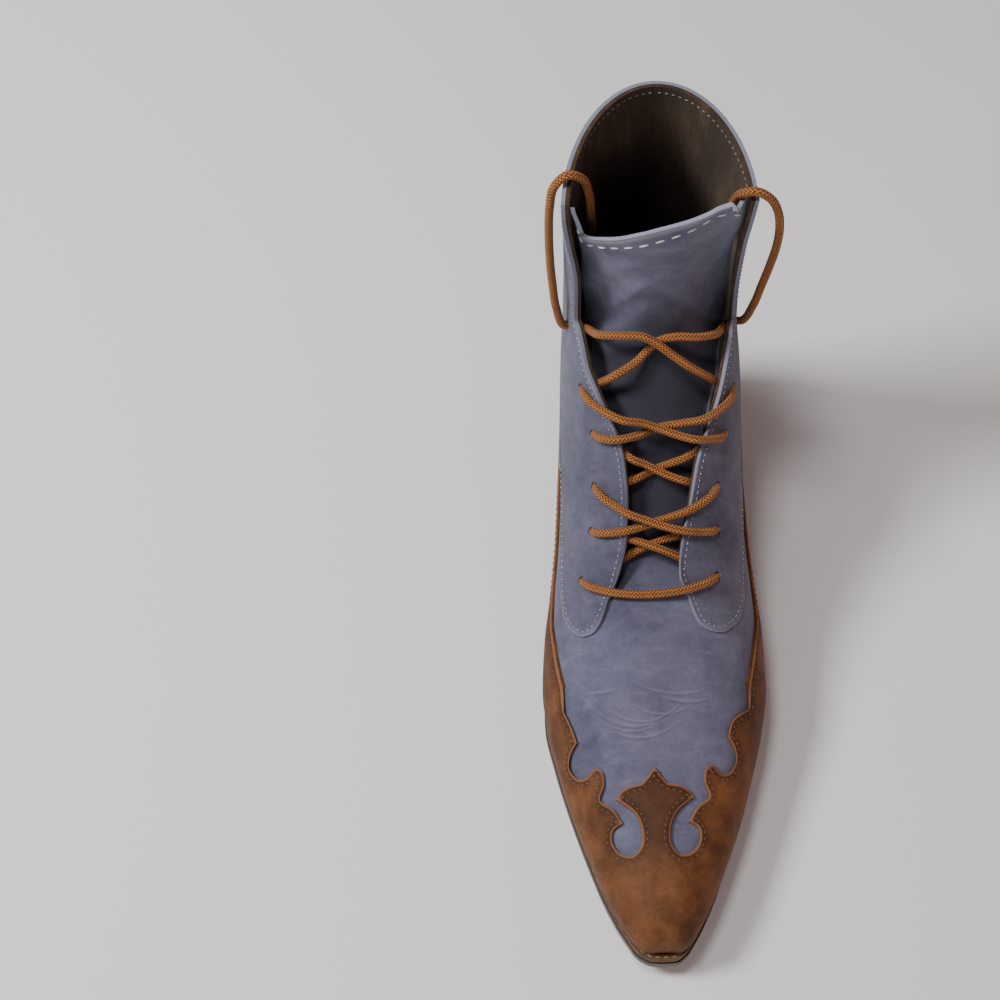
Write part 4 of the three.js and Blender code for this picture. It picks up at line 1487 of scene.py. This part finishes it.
def tube(name, line, diameter, material, sides=14):
    """A round cord along a line; its UV runs round it and along it, both in turns of its girth"""
    across, over = frames_along(line)
    steps = len(line) - 1
    bm = bmesh.new()
    uv = bm.loops.layers.uv.new("cord")
    bmesh.ops.create_grid(bm, x_segments=sides, y_segments=steps, size=0.5, calc_uvs=True)
    turns = length_of(line) / (math.pi * diameter)
    for vertex in bm.verts:
        angle = (vertex.co.x + 0.5) * 2 * math.pi
        step = round((vertex.co.y + 0.5) * steps)
        spoke = (math.cos(angle) * across[step] + math.sin(angle) * over[step]) * diameter / 2
        vertex.co = (line[step] + spoke) * millimetre
    for face in bm.faces:
        face.smooth = True
        for loop in face.loops:
            loop[uv].uv.y *= turns
    bmesh.ops.remove_doubles(bm, verts=bm.verts, dist=1e-6)
    bmesh.ops.holes_fill(bm, edges=bm.edges, sides=sides)
    bmesh.ops.recalc_face_normals(bm, faces=bm.faces)
    return new_object(name, bm, material)


def braided_cotton():
    material, tree = new_material("braided_cotton", Roughness=0.66, Sheen_Weight=0.04)
    turned = node(tree, "SeparateXYZ", {0: node(tree, "UVMap", {}, uv_map="cord").outputs[0]})
    around = maths(tree, "MULTIPLY", turned.outputs["X"], 6)
    along = maths(tree, "MULTIPLY", turned.outputs["Y"], 7.5)
    one_way = maths(tree, "ADD", around, along)
    other_way = maths(tree, "SUBTRACT", around, along)
    strands = []
    for way in (one_way, other_way):
        phase = maths(tree, "MULTIPLY", maths(tree, "FRACT", way), math.pi)
        strands.append(maths(tree, "SINE", phase))
    cell = maths(tree, "ADD", maths(tree, "FLOOR", one_way), maths(tree, "FLOOR", other_way))
    odd = maths(tree, "FLOORED_MODULO", cell, 2)
    even = maths(tree, "SUBTRACT", 1, odd)
    strand = both(tree, strands[0], odd, strands[1], even)
    where = object_places(tree)
    fuzz = noise(tree, where, 2600, 3)
    wear = noise(tree, where, 130, 4)
    # the ramp's near-black low end paints shade into the gaps between strands, over the orange tan dye
    dye_and_painted_shade = ramp(tree, both(tree, strand, 0.75, fuzz, 0.35), [
        (0.2, (0.03, 0.009, 0.002)),
        (0.55, (0.33, 0.102, 0.012)),
        (1.0, (0.7, 0.255, 0.045)),
    ])
    faded = blend(tree, maths(tree, "MULTIPLY", wear, 0.5), dye_and_painted_shade, (0.25, 0.076, 0.012))
    height = maths(tree, "ADD", strand, maths(tree, "MULTIPLY", fuzz, 0.3))
    return finish_material(material, faded, bump(tree, height, 0.85))


# sag in the throat, in millimetres, and bow towards the toe, in sections, from the bar upwards
lace_slack = [(1, 0.5), (0, 0), (3, 0.45), (4, 0.4), (9, 0.6), (9.5, 0.6)]
lace_over = facing_lift + lace_diameter / 2 + 0.05
lace_under = -flap_underside - lace_diameter / 2 - 0.1
crossing_room = 1.8
sag_reach = 1.35


def hole_share(pair, side):
    return side * holes[pair][1 if side < 0 else 2]


def hole_point(pair, side, lift):
    return skin(holes[pair][0], hole_share(pair, side), lift)


def lace_run(start, end, over, raised):
    """One run of lace between two holes, each given by its pair and side"""
    points = []
    slack = lace_slack[max(start[0], end[0]) if start[0] != end[0] else 0]
    for part in np.linspace(0.09, 0.91, 9):
        middle = 1 - (2 * part - 1) ** 2
        number = holes[start[0]][0] * (1 - part) + holes[end[0]][0] * part - slack[1] * middle
        share = hole_share(*start) * (1 - part) + hole_share(*end) * part
        to_edge = min(abs(share / throat_edge(number, share)) * sag_reach, 1)
        lift = (lace_over if over else lace_under) - slack[0] * (1 - to_edge * to_edge)
        lift += raised * crossing_room * max(1 - (3.2 * part - 1.6) ** 2, 0)
        points.append(skin(number, share, lift))
    return points


# (pair, side) of each hole on the way, whether the run to the next lies over the flaps, and
# whether it passes above or below the run that it crosses
lace_way = [
    ((5, -1), False, 1),
    ((4, 1), True, -1),
    ((3, -1), False, 1),
    ((2, 1), True, -1),
    ((1, -1), False, 1),
    ((0, 1), True, 0),
    ((0, -1), False, -1),
    ((1, 1), True, 1),
    ((2, -1), False, -1),
    ((3, 1), True, 1),
    ((4, -1), False, -1),
    ((5, 1), None, None),
]
lace_points = list(in_place(inner_loop[::-1]))
for stop, (hole, over, raised) in enumerate(lace_way):
    lace_points.append(hole_point(*hole, -0.3))
    if over is not None:
        lace_points.extend(lace_run(hole, lace_way[stop + 1][0], over, raised))
lace_points.extend(in_place(outer_loop))
lace_line = smooth_line(lace_points, 0.6)
inner_exit = int(np.argmin(np.linalg.norm(lace_line - in_place(inner_loop)[0], axis=1)))
outer_exit = int(np.argmin(np.linalg.norm(lace_line - in_place(outer_loop)[0], axis=1)))

lace_cotton = braided_cotton()
through_holes = lace_line[inner_exit - 1 : outer_exit + 2]
laced = tube("lace_through_holes", through_holes, lace_diameter, lace_cotton)
put_on(laced, "lace_cord", "lace_bar", *(f"lace_crossing_{number}" for number in range(1, 6)))
for end_name, end_line in (("inner", lace_line[inner_exit::-1]), ("outer", lace_line[outer_exit:])):
    lace_end = tube(f"lace_end_{end_name}", end_line, lace_diameter, lace_cotton)
    put_on(lace_end, "lace_cord", f"lace_loop_{end_name}")


# Floor and light: a plain pale floor, a large soft lamp high on the left and weak fills.
bm = bmesh.new()
bmesh.ops.create_grid(bm, x_segments=1, y_segments=1, size=4)
floor_material, _ = new_material("pale_floor", Base_Color=(0.86, 0.86, 0.86, 1), Roughness=0.9)
floor = new_object("floor", bm, floor_material)


def lamp(name, place, aim, size, power, colour=(1, 1, 1)):
    light = bpy.data.lights.new(name, "AREA")
    light.size = size
    light.energy = power
    light.color = colour
    holder = bpy.data.objects.new(name, light)
    holder.location = place
    holder.rotation_mode = "QUATERNION"
    holder.rotation_quaternion = (Vector(aim) - Vector(place)).to_track_quat("-Z", "Y")
    bpy.context.collection.objects.link(holder)


boot_middle = (0, -0.1, 0.08)
lamp("key_light", (-0.98, -0.05, 1.22), boot_middle, 0.35, 20)
lamp("front_fill", (-0.1, -1.4, 0.45), boot_middle, 1.0, 4.5)
lamp("top_fill", (-0.3, -0.05, 1.5), boot_middle, 0.25, 7)
lamp("warm_fill", (1.1, 0.0, 0.5), boot_middle, 0.9, 2.2, (1.0, 0.34, 0.24))
world = bpy.data.worlds.new("pale_world")
world.use_nodes = True
sky = world.node_tree.nodes["Background"].inputs
sky["Color"].default_value = (0.95, 0.96, 1, 1)
sky["Strength"].default_value = 0.12
bpy.context.scene.world = world
